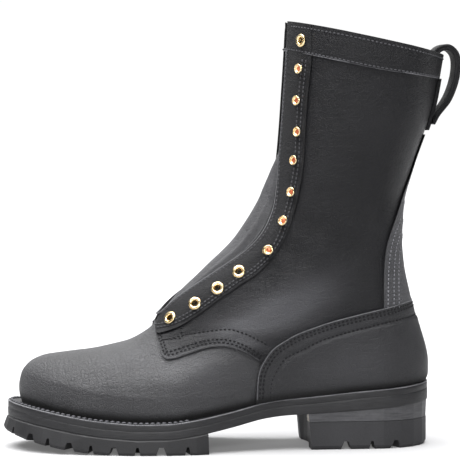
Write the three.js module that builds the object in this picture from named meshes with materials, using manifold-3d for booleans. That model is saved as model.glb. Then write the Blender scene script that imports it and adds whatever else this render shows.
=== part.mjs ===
import * as THREE from 'three';
import Module from 'manifold-3d';
import { mergeVertices } from 'three/addons/utils/BufferGeometryUtils.js';

// Lace-up work boot for a left foot, in millimetres.
// Toe toward -Y, outer side of the foot +X, floor at z = 0.

// Driving sizes of the last and the sole
const soleLength = 315.5;      // welt's toe tip to its back
const soleToe = -155;          // y of the welt's toe tip
const ballWidth = 116;         // across the welt at the ball
const upperLength = 304;       // upper's toe to its back, at the welt
const upperToe = -146;         // y of the upper's toe
const heelSeat = 47.7;         // floor to welt top at the back
const upperRise = 268.3;       // welt top to the collar's front corner
const loosePart = 0.3;         // gap left between pieces that touch

// Leather thicknesses
const vampWall = 1.6;
const quarterStep = 1.3;
const counterThickness = 1.7;
const facingThickness = 1.2;
const bandThickness = 1.2;
const tongueThickness = 2.6;
const insoleThickness = 3;

// Sole thicknesses
const weltThickness = 5;
const midsoleThickness = 6;
const heelMidsoleExtra = 2.6;
const liftThickness = 20.6;
const lugDepth = 6;
const toeFlare = 3.4;
const breastY = 59;
const breastSlant = 6;
const breastHollow = 9;
const waistStepY = -12.5;

// Throat and hardware
const throatHalfGap = 20;
const quarterHalfGap = 4;
const eyeletRadius = 4.8;
const eyeletBarrel = 2.9;
const eyeletBore = 2.3;
const hookWidth = 7.2;
const hookReach = 5.6;
const loopWidth = 20;
const loopThickness = 4.6;

// Resolution of the lofts
const ringPoints = 32;
const ringSteps = 20;
const outlinePoints = 44;
const facetSlack = 0.08;

// Welt top: [share of sole length from the toe, share of heelSeat]
const seatTable = [
  [0.000, 0.744], [0.067, 0.662], [0.127, 0.591], [0.216, 0.509], [0.304, 0.472],
  [0.365, 0.480], [0.425, 0.528], [0.513, 0.633], [0.552, 0.692], [0.586, 0.746],
  [0.634, 0.792], [0.723, 0.839], [0.815, 0.897], [0.935, 0.960], [1.000, 1.000],
];

// Tread height: [share of sole length, share of heelSeat], a flat spot under the ball
const treadTable = [
  [-0.012, 0.300], [0.045, 0.180], [0.110, 0.088], [0.175, 0.030], [0.235, 0.000], [0.455, 0.000],
];

// Welt outline: [share of sole length, half width / ballWidth, centre line / ballWidth]
const outlineTable = [
  [0.00, 0.440, -0.052], [0.10, 0.433, -0.034], [0.16, 0.444, -0.024], [0.24, 0.473, -0.015],
  [0.30, 0.493, -0.006], [0.36, 0.494, 0.006], [0.42, 0.470, 0.022], [0.50, 0.405, 0.034],
  [0.58, 0.350, 0.034], [0.66, 0.326, 0.024], [0.74, 0.328, 0.013], [0.82, 0.336, 0.004],
  [1.00, 0.324, 0.000],
];
const toeRound = 0.22;
const heelRound = 0.13;

// Rings of the upper, from the welt to the collar. Each row:
// front y share, front rise, back y share, back rise, droop, follow,
// half widths / half ballWidth at the six stations, nose share, heel share
const ringTable = [
  [0.000, 0.001, 0.995, 0.003, 1.50, 1.00, 0.672, 0.810, 0.884, 0.707, 0.597, 0.603, 0.20, 0.140],
  [-0.003, 0.041, 0.997, 0.025, 1.60, 1.00, 0.690, 0.828, 0.905, 0.724, 0.610, 0.614, 0.20, 0.140],
  [0.003, 0.080, 0.997, 0.047, 1.80, 1.00, 0.681, 0.828, 0.905, 0.733, 0.621, 0.621, 0.20, 0.140],
  [0.021, 0.113, 0.996, 0.066, 2.00, 1.00, 0.621, 0.793, 0.888, 0.733, 0.626, 0.624, 0.20, 0.140],
  [0.056, 0.141, 0.993, 0.085, 2.00, 1.00, 0.534, 0.741, 0.862, 0.724, 0.629, 0.624, 0.19, 0.140],
  [0.118, 0.164, 0.988, 0.108, 2.00, 0.95, 0.431, 0.681, 0.814, 0.707, 0.633, 0.621, 0.16, 0.145],
  [0.191, 0.186, 0.980, 0.138, 2.00, 0.88, 0.353, 0.621, 0.745, 0.686, 0.636, 0.614, 0.13, 0.150],
  [0.263, 0.212, 0.971, 0.173, 1.90, 0.75, 0.336, 0.569, 0.683, 0.671, 0.638, 0.603, 0.12, 0.155],
  [0.316, 0.244, 0.963, 0.211, 1.80, 0.55, 0.328, 0.526, 0.631, 0.659, 0.641, 0.595, 0.12, 0.160],
  [0.364, 0.311, 0.952, 0.264, 1.60, 0.35, 0.319, 0.476, 0.586, 0.652, 0.647, 0.586, 0.12, 0.170],
  [0.461, 0.382, 0.940, 0.332, 1.40, 0.15, 0.328, 0.474, 0.583, 0.655, 0.648, 0.569, 0.14, 0.190],
  [0.552, 0.444, 0.935, 0.404, 1.20, 0.00, 0.397, 0.526, 0.614, 0.666, 0.652, 0.560, 0.18, 0.220],
  [0.617, 0.542, 0.939, 0.500, 1.05, 0.00, 0.500, 0.595, 0.659, 0.690, 0.666, 0.569, 0.24, 0.260],
  [0.640, 0.680, 0.966, 0.612, 1.00, 0.00, 0.586, 0.655, 0.724, 0.755, 0.724, 0.612, 0.28, 0.300],
  [0.652, 0.858, 1.013, 0.765, 1.00, 0.00, 0.647, 0.707, 0.784, 0.821, 0.793, 0.681, 0.30, 0.320],
  [0.661, 1.036, 1.037, 0.912, 1.00, 0.00, 0.672, 0.733, 0.819, 0.862, 0.836, 0.724, 0.30, 0.330],
];
const ringStations = [0, 0.18, 0.34, 0.52, 0.72, 1];

// Panel lines seen from the side: [share of upper length, rise share above the welt]
const quarterEdge = [
  [0.563, -0.05], [0.565, 0.054], [0.570, 0.091], [0.574, 0.112], [0.562, 0.129], [0.531, 0.157],
  [0.491, 0.181], [0.445, 0.187], [0.399, 0.179], [0.347, 0.172], [0.332, 0.208], [0.328, 0.234],
  [0.331, 0.262], [0.341, 0.288],
];
const counterEdge = [
  [0.563, -0.05], [0.565, 0.054], [0.570, 0.091], [0.581, 0.114], [0.604, 0.143], [0.638, 0.164],
  [0.674, 0.181], [0.743, 0.201], [0.812, 0.213], [0.881, 0.224], [0.931, 0.230], [0.990, 0.232],
];
const facingRearEdge = [
  [0.336, 0.238], [0.391, 0.257], [0.447, 0.289], [0.490, 0.315], [0.534, 0.339], [0.571, 0.356],
  [0.608, 0.391], [0.642, 0.450], [0.659, 0.507], [0.669, 0.548], [0.682, 0.634], [0.687, 0.721],
  [0.692, 0.808], [0.699, 0.895], [0.702, 0.936],
];
const collarBandEdge = [
  [0.600, 0.968], [0.653, 0.957], [0.702, 0.940], [0.759, 0.919], [0.850, 0.888], [0.948, 0.863],
  [1.009, 0.848], [1.060, 0.838],
];
const backstayEdge = [
  [0.881, 0.190], [0.881, 0.290], [0.883, 0.346], [0.889, 0.393], [0.901, 0.432], [0.925, 0.494],
  [0.962, 0.591], [0.995, 0.690],
];
const backstayTop = 0.700;

// Throat slot: [rise above throatBase / upperRise, half width, shift to the inner side, / throatHalfGap]
const throatTable = [
  [0.2726, 0.000, 0.00], [0.2782, 0.250, 0.00], [0.2894, 0.400, 0.00],
  [0.3062, 0.490, 0.00], [0.3435, 0.625, 0.00], [0.3863, 0.760, 0.00],
  [0.4292, 0.895, 0.00], [0.4609, 0.985, -0.01], [0.5037, 1.045, -0.03],
  [0.5522, 0.965, -0.06], [0.5969, 0.845, -0.08], [0.6379, 0.735, -0.09],
  [0.6901, 0.615, -0.10], [0.7274, 0.555, -0.11], [0.7758, 0.525, -0.11],
  [0.8839, 0.520, -0.11], [0.9920, 0.540, -0.11], [1.1600, 0.555, -0.11],
];

// Tongue between the facings: [level up the upper, mm that it stands forward]
const tongueTable = [
  [0.560, 0.0], [0.600, 2.5], [0.667, 6.7], [0.733, 10.4], [0.780, 12.0],
  [0.810, 11.0], [0.840, 7.7], [0.870, 2.6], [0.900, 0.6], [0.930, 0.0],
];

// Hardware down each facing: [share of upper length, rise share, is a hook]
const hardwareTable = [
  [0.688, 0.980, 0], [0.684, 0.903, 1], [0.679, 0.816, 1], [0.679, 0.730, 1], [0.671, 0.652, 1],
  [0.663, 0.564, 1], [0.640, 0.483, 1], [0.598, 0.412, 1], [0.531, 0.368, 0], [0.479, 0.335, 0],
  [0.425, 0.304, 0], [0.369, 0.271, 0],
];

// Pull loop's middle line: [mm behind the collar's back edge, mm above it]
const loopTable = [
  [-6.0, -22.0], [-5.8, -6.0], [-2.6, 2.8], [5.2, 5.6], [11.2, 0.8], [12.8, -8.0], [11.0, -20.0],
  [6.0, -33.0], [-2.0, -44.5], [-5.4, -52.0],
];

// Tread: [share of sole length at the notch, 1 for a wide notch]
const notchTable = [
  [0.018, 0], [0.054, 1], [0.092, 0], [0.139, 1], [0.187, 0], [0.239, 1], [0.293, 0], [0.348, 1],
  [0.409, 0],
];
const heelNotchTable = [[0.788, 1], [0.850, 0], [0.909, 1]];
const centreLugTable = [[0.100, 0.22], [0.175, 0.30], [0.250, 0.34], [0.325, 0.34], [0.400, 0.30]];

const wasm = await Module();
wasm.setup();

// Value of a table's column at a share, by monotone cubic steps
function readTable(table, share, column) {
  const last = table.length - 1;
  if (share <= table[0][0]) return table[0][column];
  if (share >= table[last][0]) return table[last][column];
  const step = (i) => table[i + 1][0] - table[i][0];
  const rise = (i) => (table[i + 1][column] - table[i][column]) / step(i);
  const slope = (i) => {
    if (i === 0) return rise(0);
    if (i === last) return rise(last - 1);
    if (rise(i - 1) * rise(i) <= 0) return 0;
    const before = 2 * step(i) + step(i - 1);
    const after = step(i) + 2 * step(i - 1);
    return (before + after) / (before / rise(i - 1) + after / rise(i));
  };
  let i = 0;
  while (share > table[i + 1][0]) i += 1;
  const t = (share - table[i][0]) / step(i);
  const t2 = t * t;
  const t3 = t2 * t;
  return (2 * t3 - 3 * t2 + 1) * table[i][column]
    + (t3 - 2 * t2 + t) * step(i) * slope(i)
    + (3 * t2 - 2 * t3) * table[i + 1][column]
    + (t3 - t2) * step(i) * slope(i + 1);
}

// Quarter-circle rounding of an outline's two ends
function endRound(share, nose, heel) {
  const front = share < nose ? Math.sqrt(Math.max(0, 1 - (1 - share / nose) ** 2)) : 1;
  const rest = 1 - share;
  const back = rest < heel ? Math.sqrt(Math.max(0, 1 - (1 - rest / heel) ** 2)) : 1;
  return front * back;
}

function seatHeight(y) {
  return readTable(seatTable, (y - soleToe) / soleLength, 1) * heelSeat;
}

function treadHeight(y) {
  return readTable(treadTable, (y - soleToe) / soleLength, 1) * heelSeat;
}

function centreLine(y) {
  return readTable(outlineTable, (y - soleToe) / soleLength, 2) * ballWidth;
}

// Rings of the upper as rows of a table read along the share from welt to collar
const ringRows = ringTable.map((row, i) => [i / (ringTable.length - 1), ...row]);

function ringAt(v) {
  return ringTable[0].map((_, column) => readTable(ringRows, v, column + 1));
}

// Point of the last's surface: turn 0 is the front, 0.25 the outer side, 0.5 the back
function lastPoint(turn, v) {
  const [frontY, frontRise, backY, backRise, droop, follow, ...rest] = ringAt(v);
  const widths = rest.slice(0, 6);
  const [nose, heel] = rest.slice(6);
  const share = (1 - Math.cos(2 * Math.PI * turn)) / 2;
  const yFront = upperToe + frontY * upperLength;
  const yBack = upperToe + backY * upperLength;
  const y = yFront + (yBack - yFront) * share;
  const zFront = seatHeight(yFront) + frontRise * upperRise;
  const zBack = seatHeight(yBack) + backRise * upperRise;
  const fall = (1 - share) ** droop;
  const above = seatHeight(y) + (backRise + (frontRise - backRise) * fall) * upperRise;
  const level = zBack + (zFront - zBack) * fall;
  const z = follow * above + (1 - follow) * level;
  const stations = ringStations.map((at, i) => [at, widths[i]]);
  const half = readTable(stations, share, 1) * endRound(share, nose, heel) * ballWidth / 2;
  const shift = centreLine(y) * Math.max(0, 1 - (z - seatHeight(y)) / (upperRise * 0.4));
  const side = turn <= 0.5 ? 1 : -1;
  return new THREE.Vector3(shift + side * half, y, z);
}

function lastNormal(turn, v) {
  const d = 0.004;
  const along = lastPoint((turn + d) % 1, v).sub(lastPoint((turn - d + 1) % 1, v));
  const low = Math.max(0, v - d);
  const high = Math.min(1, v + d);
  const up = lastPoint(turn, high).sub(lastPoint(turn, low));
  return along.cross(up).normalize();
}

function offsetPoint(turn, v, offset) {
  return lastPoint(turn, v).addScaledVector(lastNormal(turn, v), offset);
}

function toSolid(geometry) {
  const clean = geometry.clone();
  clean.deleteAttribute('normal');
  clean.deleteAttribute('uv');
  const merged = mergeVertices(clean, 1e-4);
  const mesh = new wasm.Mesh({
    numProp: 3,
    vertProperties: new Float32Array(merged.attributes.position.array),
    triVerts: new Uint32Array(merged.index.array),
  });
  return new wasm.Manifold(mesh);
}

function geometryOf(points, triangles) {
  const geometry = new THREE.BufferGeometry();
  geometry.setAttribute('position', new THREE.Float32BufferAttribute(points.flatMap((p) => p.toArray()), 3));
  geometry.setIndex(triangles);
  return geometry;
}

// Closed loft through rings whose point i and point n - i face each other across the foot
function loft(rings) {
  const n = rings[0].length;
  const triangles = [];
  const top = (rings.length - 1) * n;
  for (let j = 0; j < rings.length - 1; j += 1) {
    for (let i = 0; i < n; i += 1) {
      const next = (i + 1) % n;
      const a = j * n + i;
      const b = j * n + next;
      triangles.push(a, b, b + n, a, b + n, a + n);
    }
  }
  for (let k = 0; k < n / 2; k += 1) {
    const near = k;
    const far = (n - k) % n;
    const nearNext = k + 1;
    const farNext = n - k - 1;
    if (nearNext !== farNext) {
      triangles.push(top + near, top + nearNext, top + farNext);
      triangles.push(near, farNext, nearNext);
    }
    if (near !== far) {
      triangles.push(top + near, top + farNext, top + far);
      triangles.push(near, far, farNext);
    }
  }
  return toSolid(geometryOf(rings.flat(), triangles));
}

// Closed form of the last at an offset, run on past the welt and the collar for cutting
function form(offset) {
  const rings = [];
  const ring = (v) => Array.from({ length: ringPoints }, (_, i) => offsetPoint(i / ringPoints, v, offset));
  const bottom = ring(0);
  rings.push(bottom.map((p) => p.clone().add(new THREE.Vector3(0, 0, -7))));
  for (let j = 0; j <= ringSteps; j += 1) rings.push(ring(j / ringSteps));
  const top = rings[rings.length - 1];
  const below = ring(0.96);
  rings.push(top.map((p, i) => p.clone().addScaledVector(p.clone().sub(below[i]).normalize(), 9)));
  return loft(rings);
}

// Solid between two offsets of the last
function shell(inner, outer) {
  return form(outer).subtract(form(inner));
}

// Solid seen as a flat outline from the side and running right across the boot
function sidePrism(outline) {
  const reach = ballWidth;
  const shape = new THREE.Shape(outline.map(([y, z]) => new THREE.Vector2(y, z)));
  const geometry = new THREE.ExtrudeGeometry(shape, { depth: 2 * reach, bevelEnabled: false });
  const turn = new THREE.Matrix4().makeBasis(
    new THREE.Vector3(0, 1, 0), new THREE.Vector3(0, 0, 1), new THREE.Vector3(1, 0, 0),
  );
  geometry.applyMatrix4(turn);
  geometry.translate(-reach, 0, 0);
  return toSolid(geometry);
}

// Smooth line through a panel table, as [y, z] points
function panelLine(table, steps) {
  const curve = new THREE.SplineCurve(table.map(([y, z]) => new THREE.Vector2(y, z)));
  return curve.getPoints(steps).map((p) => {
    const y = upperToe + p.x * upperLength;
    return [y, seatHeight(y) + p.y * upperRise];
  });
}

// The same line moved square to itself, to the left of its run
function movedLine(line, distance) {
  return line.map(([y, z], i) => {
    const before = line[Math.max(0, i - 1)];
    const after = line[Math.min(line.length - 1, i + 1)];
    const dy = after[0] - before[0];
    const dz = after[1] - before[1];
    const size = Math.hypot(dy, dz);
    return [y - (dz / size) * distance, z + (dy / size) * distance];
  });
}

const farBack = soleToe + soleLength + 60;
const farFront = soleToe - 40;
const farTop = heelSeat + upperRise * 1.5;

function box(lengthX, lengthY, lengthZ, x, y, z) {
  const geometry = new THREE.BoxGeometry(lengthX, lengthY, lengthZ);
  geometry.translate(x, y, z);
  return toSolid(geometry);
}

// Everything under the upper's bottom edge
function belowSeat(lift) {
  const steps = 30;
  const line = Array.from({ length: steps + 1 }, (_, i) => {
    const y = soleToe - 20 + (soleLength + 40) * (i / steps);
    return [y, seatHeight(y) + lift];
  });
  return sidePrism([...line, [farBack, heelSeat], [farBack, -60], [farFront, -60]]);
}

function collarPoint(backward) {
  const row = ringTable[ringTable.length - 1];
  const frontY = upperToe + row[0] * upperLength;
  const backY = upperToe + row[2] * upperLength;
  const frontZ = seatHeight(frontY) + row[1] * upperRise;
  const backZ = seatHeight(backY) + row[3] * upperRise;
  return [frontY + (backY - frontY) * backward, frontZ + (backZ - frontZ) * backward];
}

// Everything over the collar's sloping top
function aboveCollar() {
  return sidePrism([collarPoint(-0.6), collarPoint(1.6), [farBack, farTop], [farFront, farTop]]);
}

function trimmed(solid) {
  return solid.subtract(belowSeat(loosePart + 0.1)).subtract(aboveCollar());
}

// Slot between the facings: it ends in a point at the instep and is widest at the ankle
function throatCutter() {
  const edge = (side) => throatTable.map(([rise, half, shift]) => new THREE.Vector2(
    (shift + side * half) * throatHalfGap, throatBase + rise * upperRise,
  ));
  const shape = new THREE.Shape([...edge(1), ...edge(-1).slice(1).reverse()]);
  const depth = 150;
  const geometry = new THREE.ExtrudeGeometry(shape, { depth, bevelEnabled: false });
  geometry.rotateX(Math.PI / 2);
  geometry.translate(0, 85, 0);
  return toSolid(geometry);
}

// Straight slot that leaves the vamp plain between the facings' lower ends
function vampGap() {
  return box(2 * quarterHalfGap, 260, 160, 0, -70, 80);
}

function quarterRegion(growth) {
  const edge = movedLine(panelLine(quarterEdge, 24), growth);
  const [endY] = edge[edge.length - 1];
  return sidePrism([...edge, [endY, farTop], [farBack, farTop], [farBack, -40]]);
}

// Spot on the outer or inner side for a side-view position
function sideSpot(yShare, riseShare, side) {
  const y = upperToe + yShare * upperLength;
  const z = seatHeight(y) + riseShare * upperRise;
  let best = null;
  let low = 0.5;
  let high = 1;
  for (let k = 0; k < 40; k += 1) {
    const v = (low + high) / 2;
    const row = ringAt(v);
    const yFront = upperToe + row[0] * upperLength;
    const yBack = upperToe + row[2] * upperLength;
    const share = Math.min(1, Math.max(0, (y - yFront) / (yBack - yFront)));
    const turn = Math.acos(1 - 2 * share) / (2 * Math.PI);
    best = { turn: side > 0 ? turn : 1 - turn, v };
    if (lastPoint(turn, v).z < z) low = v;
    else high = v;
  }
  return best;
}

// Frame standing on the facing's face: z outward, x away from the throat
function spotFrame(yShare, riseShare, side, offset) {
  const { turn, v } = sideSpot(yShare, riseShare, side);
  const out = lastNormal(turn, v);
  const at = offsetPoint(turn, v, offset);
  const ahead = lastPoint((turn + 0.004 * side + 1) % 1, v).sub(lastPoint(turn, v));
  const away = ahead.addScaledVector(out, -ahead.dot(out)).normalize();
  const up = out.clone().cross(away);
  return new THREE.Matrix4().makeBasis(away, up, out).setPosition(at);
}

const throatBase = heelSeat * 0.5;
const quarterFace = quarterStep;
const facingInner = quarterFace + loosePart;
const facingFace = facingInner + facingThickness;

function barrelHoles(side) {
  const holes = hardwareTable.filter((row) => row[2] === 0).map(([y, rise]) => {
    const geometry = new THREE.CylinderGeometry(eyeletBarrel + loosePart, eyeletBarrel + loosePart, 16, 10);
    geometry.rotateX(Math.PI / 2);
    geometry.applyMatrix4(spotFrame(y, rise, side, 0));
    return toSolid(geometry);
  });
  return wasm.Manifold.union(holes);
}

function makeUpper() {
  const quarters = form(quarterFace).intersect(quarterRegion(0)).subtract(vampGap());
  const body = form(0).add(quarters).subtract(form(-vampWall)).subtract(throatCutter());
  return trimmed(body).subtract(barrelHoles(1)).subtract(barrelHoles(-1));
}

function counterRegion(growth) {
  const edge = movedLine(panelLine(counterEdge, 24), growth);
  return sidePrism([...edge, [farBack, edge[edge.length - 1][1]], [farBack, -40]]);
}

function makeCounter() {
  const inner = quarterFace + loosePart;
  return trimmed(shell(inner, inner + counterThickness).intersect(counterRegion(0)));
}

function makeFacing(side) {
  const rear = panelLine(facingRearEdge, 24);
  const [lowY, lowZ] = rear[0];
  const [topY, topZ] = rear[rear.length - 1];
  const region = sidePrism([...rear, [topY, topZ + 60], [farFront, topZ + 60], [farFront, lowZ], [lowY, lowZ]]
    .slice(0, -1));
  const half = box(ballWidth, 500, 700, side * ballWidth / 2, 0, 200);
  const sheet = shell(facingInner, facingFace).intersect(region).intersect(half)
    .intersect(quarterRegion(-loosePart));
  return trimmed(sheet.subtract(throatCutter()).subtract(vampGap())).subtract(barrelHoles(side));
}

function makeCollarBand() {
  const edge = panelLine(collarBandEdge, 12);
  const ends = panelLine(facingRearEdge, 24);
  const [topY, topZ] = ends[ends.length - 1];
  const region = sidePrism([...edge, [farBack, farTop], [edge[0][0], farTop]]);
  const behind = sidePrism([[topY + loosePart, topZ - 60], [farBack, topZ - 60], [farBack, farTop],
    [topY + loosePart, farTop]]);
  return trimmed(shell(facingInner, facingInner + bandThickness).intersect(region).intersect(behind));
}

function makeBackstay() {
  const edge = panelLine(backstayEdge, 14);
  const top = seatHeight(farBack) + backstayTop * upperRise;
  const [lowY, lowZ] = edge[0];
  const region = sidePrism([[lowY, lowZ], [farBack, lowZ], [farBack, top], ...edge.slice(1).reverse()]);
  const sheet = shell(facingInner, facingInner + bandThickness).intersect(region);
  return trimmed(sheet).subtract(counterRegion(loosePart));
}

// Tongue: a bent sheet inside the throat that swells forward between the facings
function makeTongue() {
  const rows = 18;
  const columns = 14;
  const spread = 0.13;
  const lowV = 0.545;
  const highV = 0.965;
  const under = -vampWall - 1;
  const swell = (turn, v) => {
    const { x, z } = lastPoint(turn, v);
    const rise = (z - throatBase) / upperRise;
    const middle = readTable(throatTable, rise, 2) * throatHalfGap;
    const half = readTable(throatTable, rise, 1) * throatHalfGap - 3.5;
    const across = Math.min(1, Math.abs(x - middle) / Math.max(half, 0.1));
    return readTable(tongueTable, v, 1) * Math.cos(across * Math.PI / 2) ** 2;
  };
  const grid = (drop) => {
    const points = [];
    for (let j = 0; j <= rows; j += 1) {
      const v = lowV + (highV - lowV) * (j / rows);
      for (let i = 0; i <= columns; i += 1) {
        const turn = (spread * (2 * i / columns - 1) + 1) % 1;
        points.push(offsetPoint(turn, v, under + swell(turn, v) - drop));
      }
    }
    return points;
  };
  const outer = grid(0);
  const inner = grid(tongueThickness);
  const wide = columns + 1;
  const count = outer.length;
  const triangles = [];
  for (let j = 0; j < rows; j += 1) {
    for (let i = 0; i < columns; i += 1) {
      const a = j * wide + i;
      const b = a + 1;
      const c = b + wide;
      const d = a + wide;
      triangles.push(a, b, c, a, c, d);
      triangles.push(count + a, count + c, count + b, count + a, count + d, count + c);
    }
  }
  const rim = [];
  for (let i = 0; i < columns; i += 1) rim.push(i);
  for (let j = 0; j < rows; j += 1) rim.push(j * wide + columns);
  for (let i = columns; i > 0; i -= 1) rim.push(rows * wide + i);
  for (let j = rows; j > 0; j -= 1) rim.push(j * wide);
  rim.forEach((a, k) => {
    const b = rim[(k + 1) % rim.length];
    triangles.push(a, count + a, count + b, a, count + b, b);
  });
  return toSolid(geometryOf([...outer, ...inner], triangles));
}

function makeInsole() {
  const body = form(-vampWall - loosePart);
  const top = belowSeat(loosePart + 0.1 + insoleThickness);
  return body.intersect(top).subtract(belowSeat(loosePart + 0.1));
}

// Outline of the sole at a share and side, moved outward by grow
function outlinePoint(turn, grow) {
  const share = (1 - Math.cos(2 * Math.PI * turn)) / 2;
  const y = soleToe + share * soleLength;
  const half = readTable(outlineTable, share, 1) * endRound(share, toeRound, heelRound) * ballWidth;
  const side = turn <= 0.5 ? 1 : -1;
  return [centreLine(y) + side * half, y, grow];
}

function outlineLoop(grow) {
  const base = Array.from({ length: outlinePoints }, (_, i) => outlinePoint(i / outlinePoints, 0));
  return base.map(([x, y], i) => {
    const before = base[(i - 1 + outlinePoints) % outlinePoints];
    const after = base[(i + 1) % outlinePoints];
    const dx = after[0] - before[0];
    const dy = after[1] - before[1];
    const size = Math.hypot(dx, dy);
    const out = grow(y);
    return [x + (dy / size) * out, y - (dx / size) * out];
  });
}

// Sole layer between levels, each with a growth and a height along y
function layer(levels) {
  return loft(levels.map(({ grow, height }) => (
    outlineLoop(grow).map(([x, y]) => new THREE.Vector3(x, y, height(y)))
  )));
}

const flat = (value) => () => value;
const weltUnder = (y) => seatHeight(y) - weltThickness;
const midsoleUnder = (y) => {
  const back = THREE.MathUtils.smoothstep(y, 20, 120);
  return weltUnder(y) - loosePart - midsoleThickness - heelMidsoleExtra * back;
};

function makeWelt() {
  return layer([
    { grow: flat(-0.6), height: weltUnder },
    { grow: flat(0), height: (y) => weltUnder(y) + 1.2 },
    { grow: flat(0), height: (y) => seatHeight(y) - 1 },
    { grow: flat(-0.8), height: seatHeight },
  ]);
}

function makeMidsole() {
  return layer([
    { grow: flat(-0.6), height: midsoleUnder },
    { grow: flat(0.2), height: (y) => midsoleUnder(y) + 1 },
    { grow: flat(0.2), height: (y) => weltUnder(y) - loosePart - 1 },
    { grow: flat(-0.6), height: (y) => weltUnder(y) - loosePart },
  ]);
}

// Wedge cut into a lug edge, pointing inward from the outline
function notchCutter(share, wide, side, base, depth) {
  const turn = Math.acos(1 - 2 * share) / (2 * Math.PI);
  const here = outlinePoint(side > 0 ? turn : 1 - turn, 0);
  const next = outlinePoint(side > 0 ? turn + 0.004 : 1 - turn - 0.004, 0);
  const along = new THREE.Vector3(next[0] - here[0], next[1] - here[1], 0).normalize();
  const up = new THREE.Vector3(0, 0, 1);
  const inward = new THREE.Vector3(-along.y * side, along.x * side, 0);
  const across = up.clone().cross(inward);
  const top = wide ? 1.6 : 0.8;
  const mouth = wide ? 3.9 : 2.2;
  const shape = new THREE.Shape();
  shape.moveTo(-mouth, -4);
  shape.lineTo(mouth, -4);
  shape.lineTo(mouth, 0);
  shape.lineTo(top, depth);
  shape.lineTo(-top, depth);
  shape.lineTo(-mouth, 0);
  const length = wide ? 34 : 24;
  const geometry = new THREE.ExtrudeGeometry(shape, { depth: length, bevelEnabled: false });
  const place = new THREE.Matrix4().makeBasis(across, up, inward);
  place.setPosition(here[0] - inward.x * 8, here[1] - inward.y * 8, base(here[1]));
  geometry.applyMatrix4(place);
  return toSolid(geometry);
}

// Cross-shaped lug on the middle line
function centreLug(yShare, widthShare, base) {
  const y = soleToe + yShare * soleLength;
  const x = centreLine(y);
  const low = base(y);
  const tall = lugDepth + 1;
  const bar = box(widthShare * ballWidth, 5.5, tall, x, y, low + tall / 2 + 0.4);
  const stem = box(6, 15, tall, x, y, low + tall / 2 + 0.4);
  return bar.add(stem);
}

function makeOutsole() {
  const under = (y) => midsoleUnder(y) - loosePart;
  const body = layer([
    { grow: (y) => (y < soleToe + 40 ? toeFlare * 0.8 : 1.2), height: treadHeight },
    { grow: (y) => (y < soleToe + 40 ? toeFlare : 1.8), height: (y) => treadHeight(y) + 2 },
    { grow: (y) => (y < soleToe + 40 ? 1 : 0.8), height: (y) => under(y) - 1 },
    { grow: flat(-0.2), height: under },
  ]);
  const front = sidePrism([[farFront, -40], [waistStepY + 4, -40], [waistStepY - 1, 90], [farFront, 90]]);
  const pocket = layer([
    { grow: flat(-19), height: (y) => treadHeight(y) - 6 },
    { grow: flat(-19), height: (y) => treadHeight(y) + lugDepth },
  ]);
  const cut = sidePrism([[farFront, -40], [waistStepY - 9, -40], [waistStepY - 9, 90], [farFront, 90]]);
  let sole = body.intersect(front).subtract(pocket.intersect(cut));
  for (const [share, wide] of notchTable) {
    sole = sole.subtract(notchCutter(share, wide, 1, treadHeight, lugDepth));
    sole = sole.subtract(notchCutter(share, wide, -1, treadHeight, lugDepth));
  }
  for (const [share, width] of centreLugTable) sole = sole.add(centreLug(share, width, treadHeight));
  return sole;
}

function heelFront(extra) {
  const front = breastY + extra;
  const prism = sidePrism([[front, 90], [front + breastSlant * 1.8, -20], [farBack, -20], [farBack, 90]]);
  const curve = new THREE.CylinderGeometry(70, 70, 200, 48);
  curve.rotateX(Math.PI / 2);
  curve.translate(0, front + breastHollow - 70 + breastSlant * 0.6, 0);
  return prism.subtract(toSolid(curve));
}

function makeHeelStack() {
  const body = layer([
    { grow: flat(-0.9), height: flat(liftThickness + loosePart) },
    { grow: flat(-0.4), height: (y) => midsoleUnder(y) - loosePart },
  ]);
  return body.intersect(heelFront(0));
}

function makeHeelLift() {
  const body = layer([
    { grow: flat(-2.6), height: flat(0) },
    { grow: flat(-0.6), height: flat(3) },
    { grow: flat(-0.6), height: flat(liftThickness) },
  ]);
  const pocket = layer([
    { grow: flat(-15), height: flat(-5) },
    { grow: flat(-15), height: flat(lugDepth) },
  ]);
  const middle = box(24, 10, lugDepth + 1, 0, 112, lugDepth / 2 + 0.5);
  const middleBack = box(24, 10, lugDepth + 1, 0, 131, lugDepth / 2 + 0.5);
  const front = sidePrism([[breastY + 22, -40], [farBack, -40], [farBack, 90], [breastY + 22, 90]]);
  let lift = body.intersect(heelFront(0)).subtract(pocket.intersect(front));
  for (const [share, wide] of heelNotchTable) {
    lift = lift.subtract(notchCutter(share, wide, 1, flat(0), lugDepth));
    lift = lift.subtract(notchCutter(share, wide, -1, flat(0), lugDepth));
  }
  return lift.add(middle).add(middleBack);
}

// Strap bent over the collar's back edge and sewn down below it
function makePullLoop() {
  const [backY, backZ] = collarPoint(1);
  const curve = new THREE.SplineCurve(loopTable.map(([y, z]) => new THREE.Vector2(backY + y, backZ + z)));
  const middle = curve.getPoints(26).map((p) => [p.x, p.y]);
  const taper = (i) => (i < 3 || i > 23 ? 0.26 : 0.5);
  const left = movedLine(middle, 1);
  const side = (sign) => middle.map(([y, z], i) => [
    y + (left[i][0] - y) * sign * loopThickness * taper(i),
    z + (left[i][1] - z) * sign * loopThickness * taper(i),
  ]);
  const shape = new THREE.Shape([...side(1), ...side(-1).reverse()].map(([y, z]) => new THREE.Vector2(y, z)));
  const geometry = new THREE.ExtrudeGeometry(shape, { depth: loopWidth, bevelEnabled: false });
  geometry.applyMatrix4(new THREE.Matrix4().makeBasis(
    new THREE.Vector3(0, 1, 0), new THREE.Vector3(0, 0, 1), new THREE.Vector3(1, 0, 0),
  ));
  geometry.translate(-loopWidth / 2, 0, 0);
  const strap = toSolid(geometry);
  const clear = shell(-vampWall - loosePart, facingFace + loosePart);
  return strap.subtract(clear.subtract(aboveCollar()));
}

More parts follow.
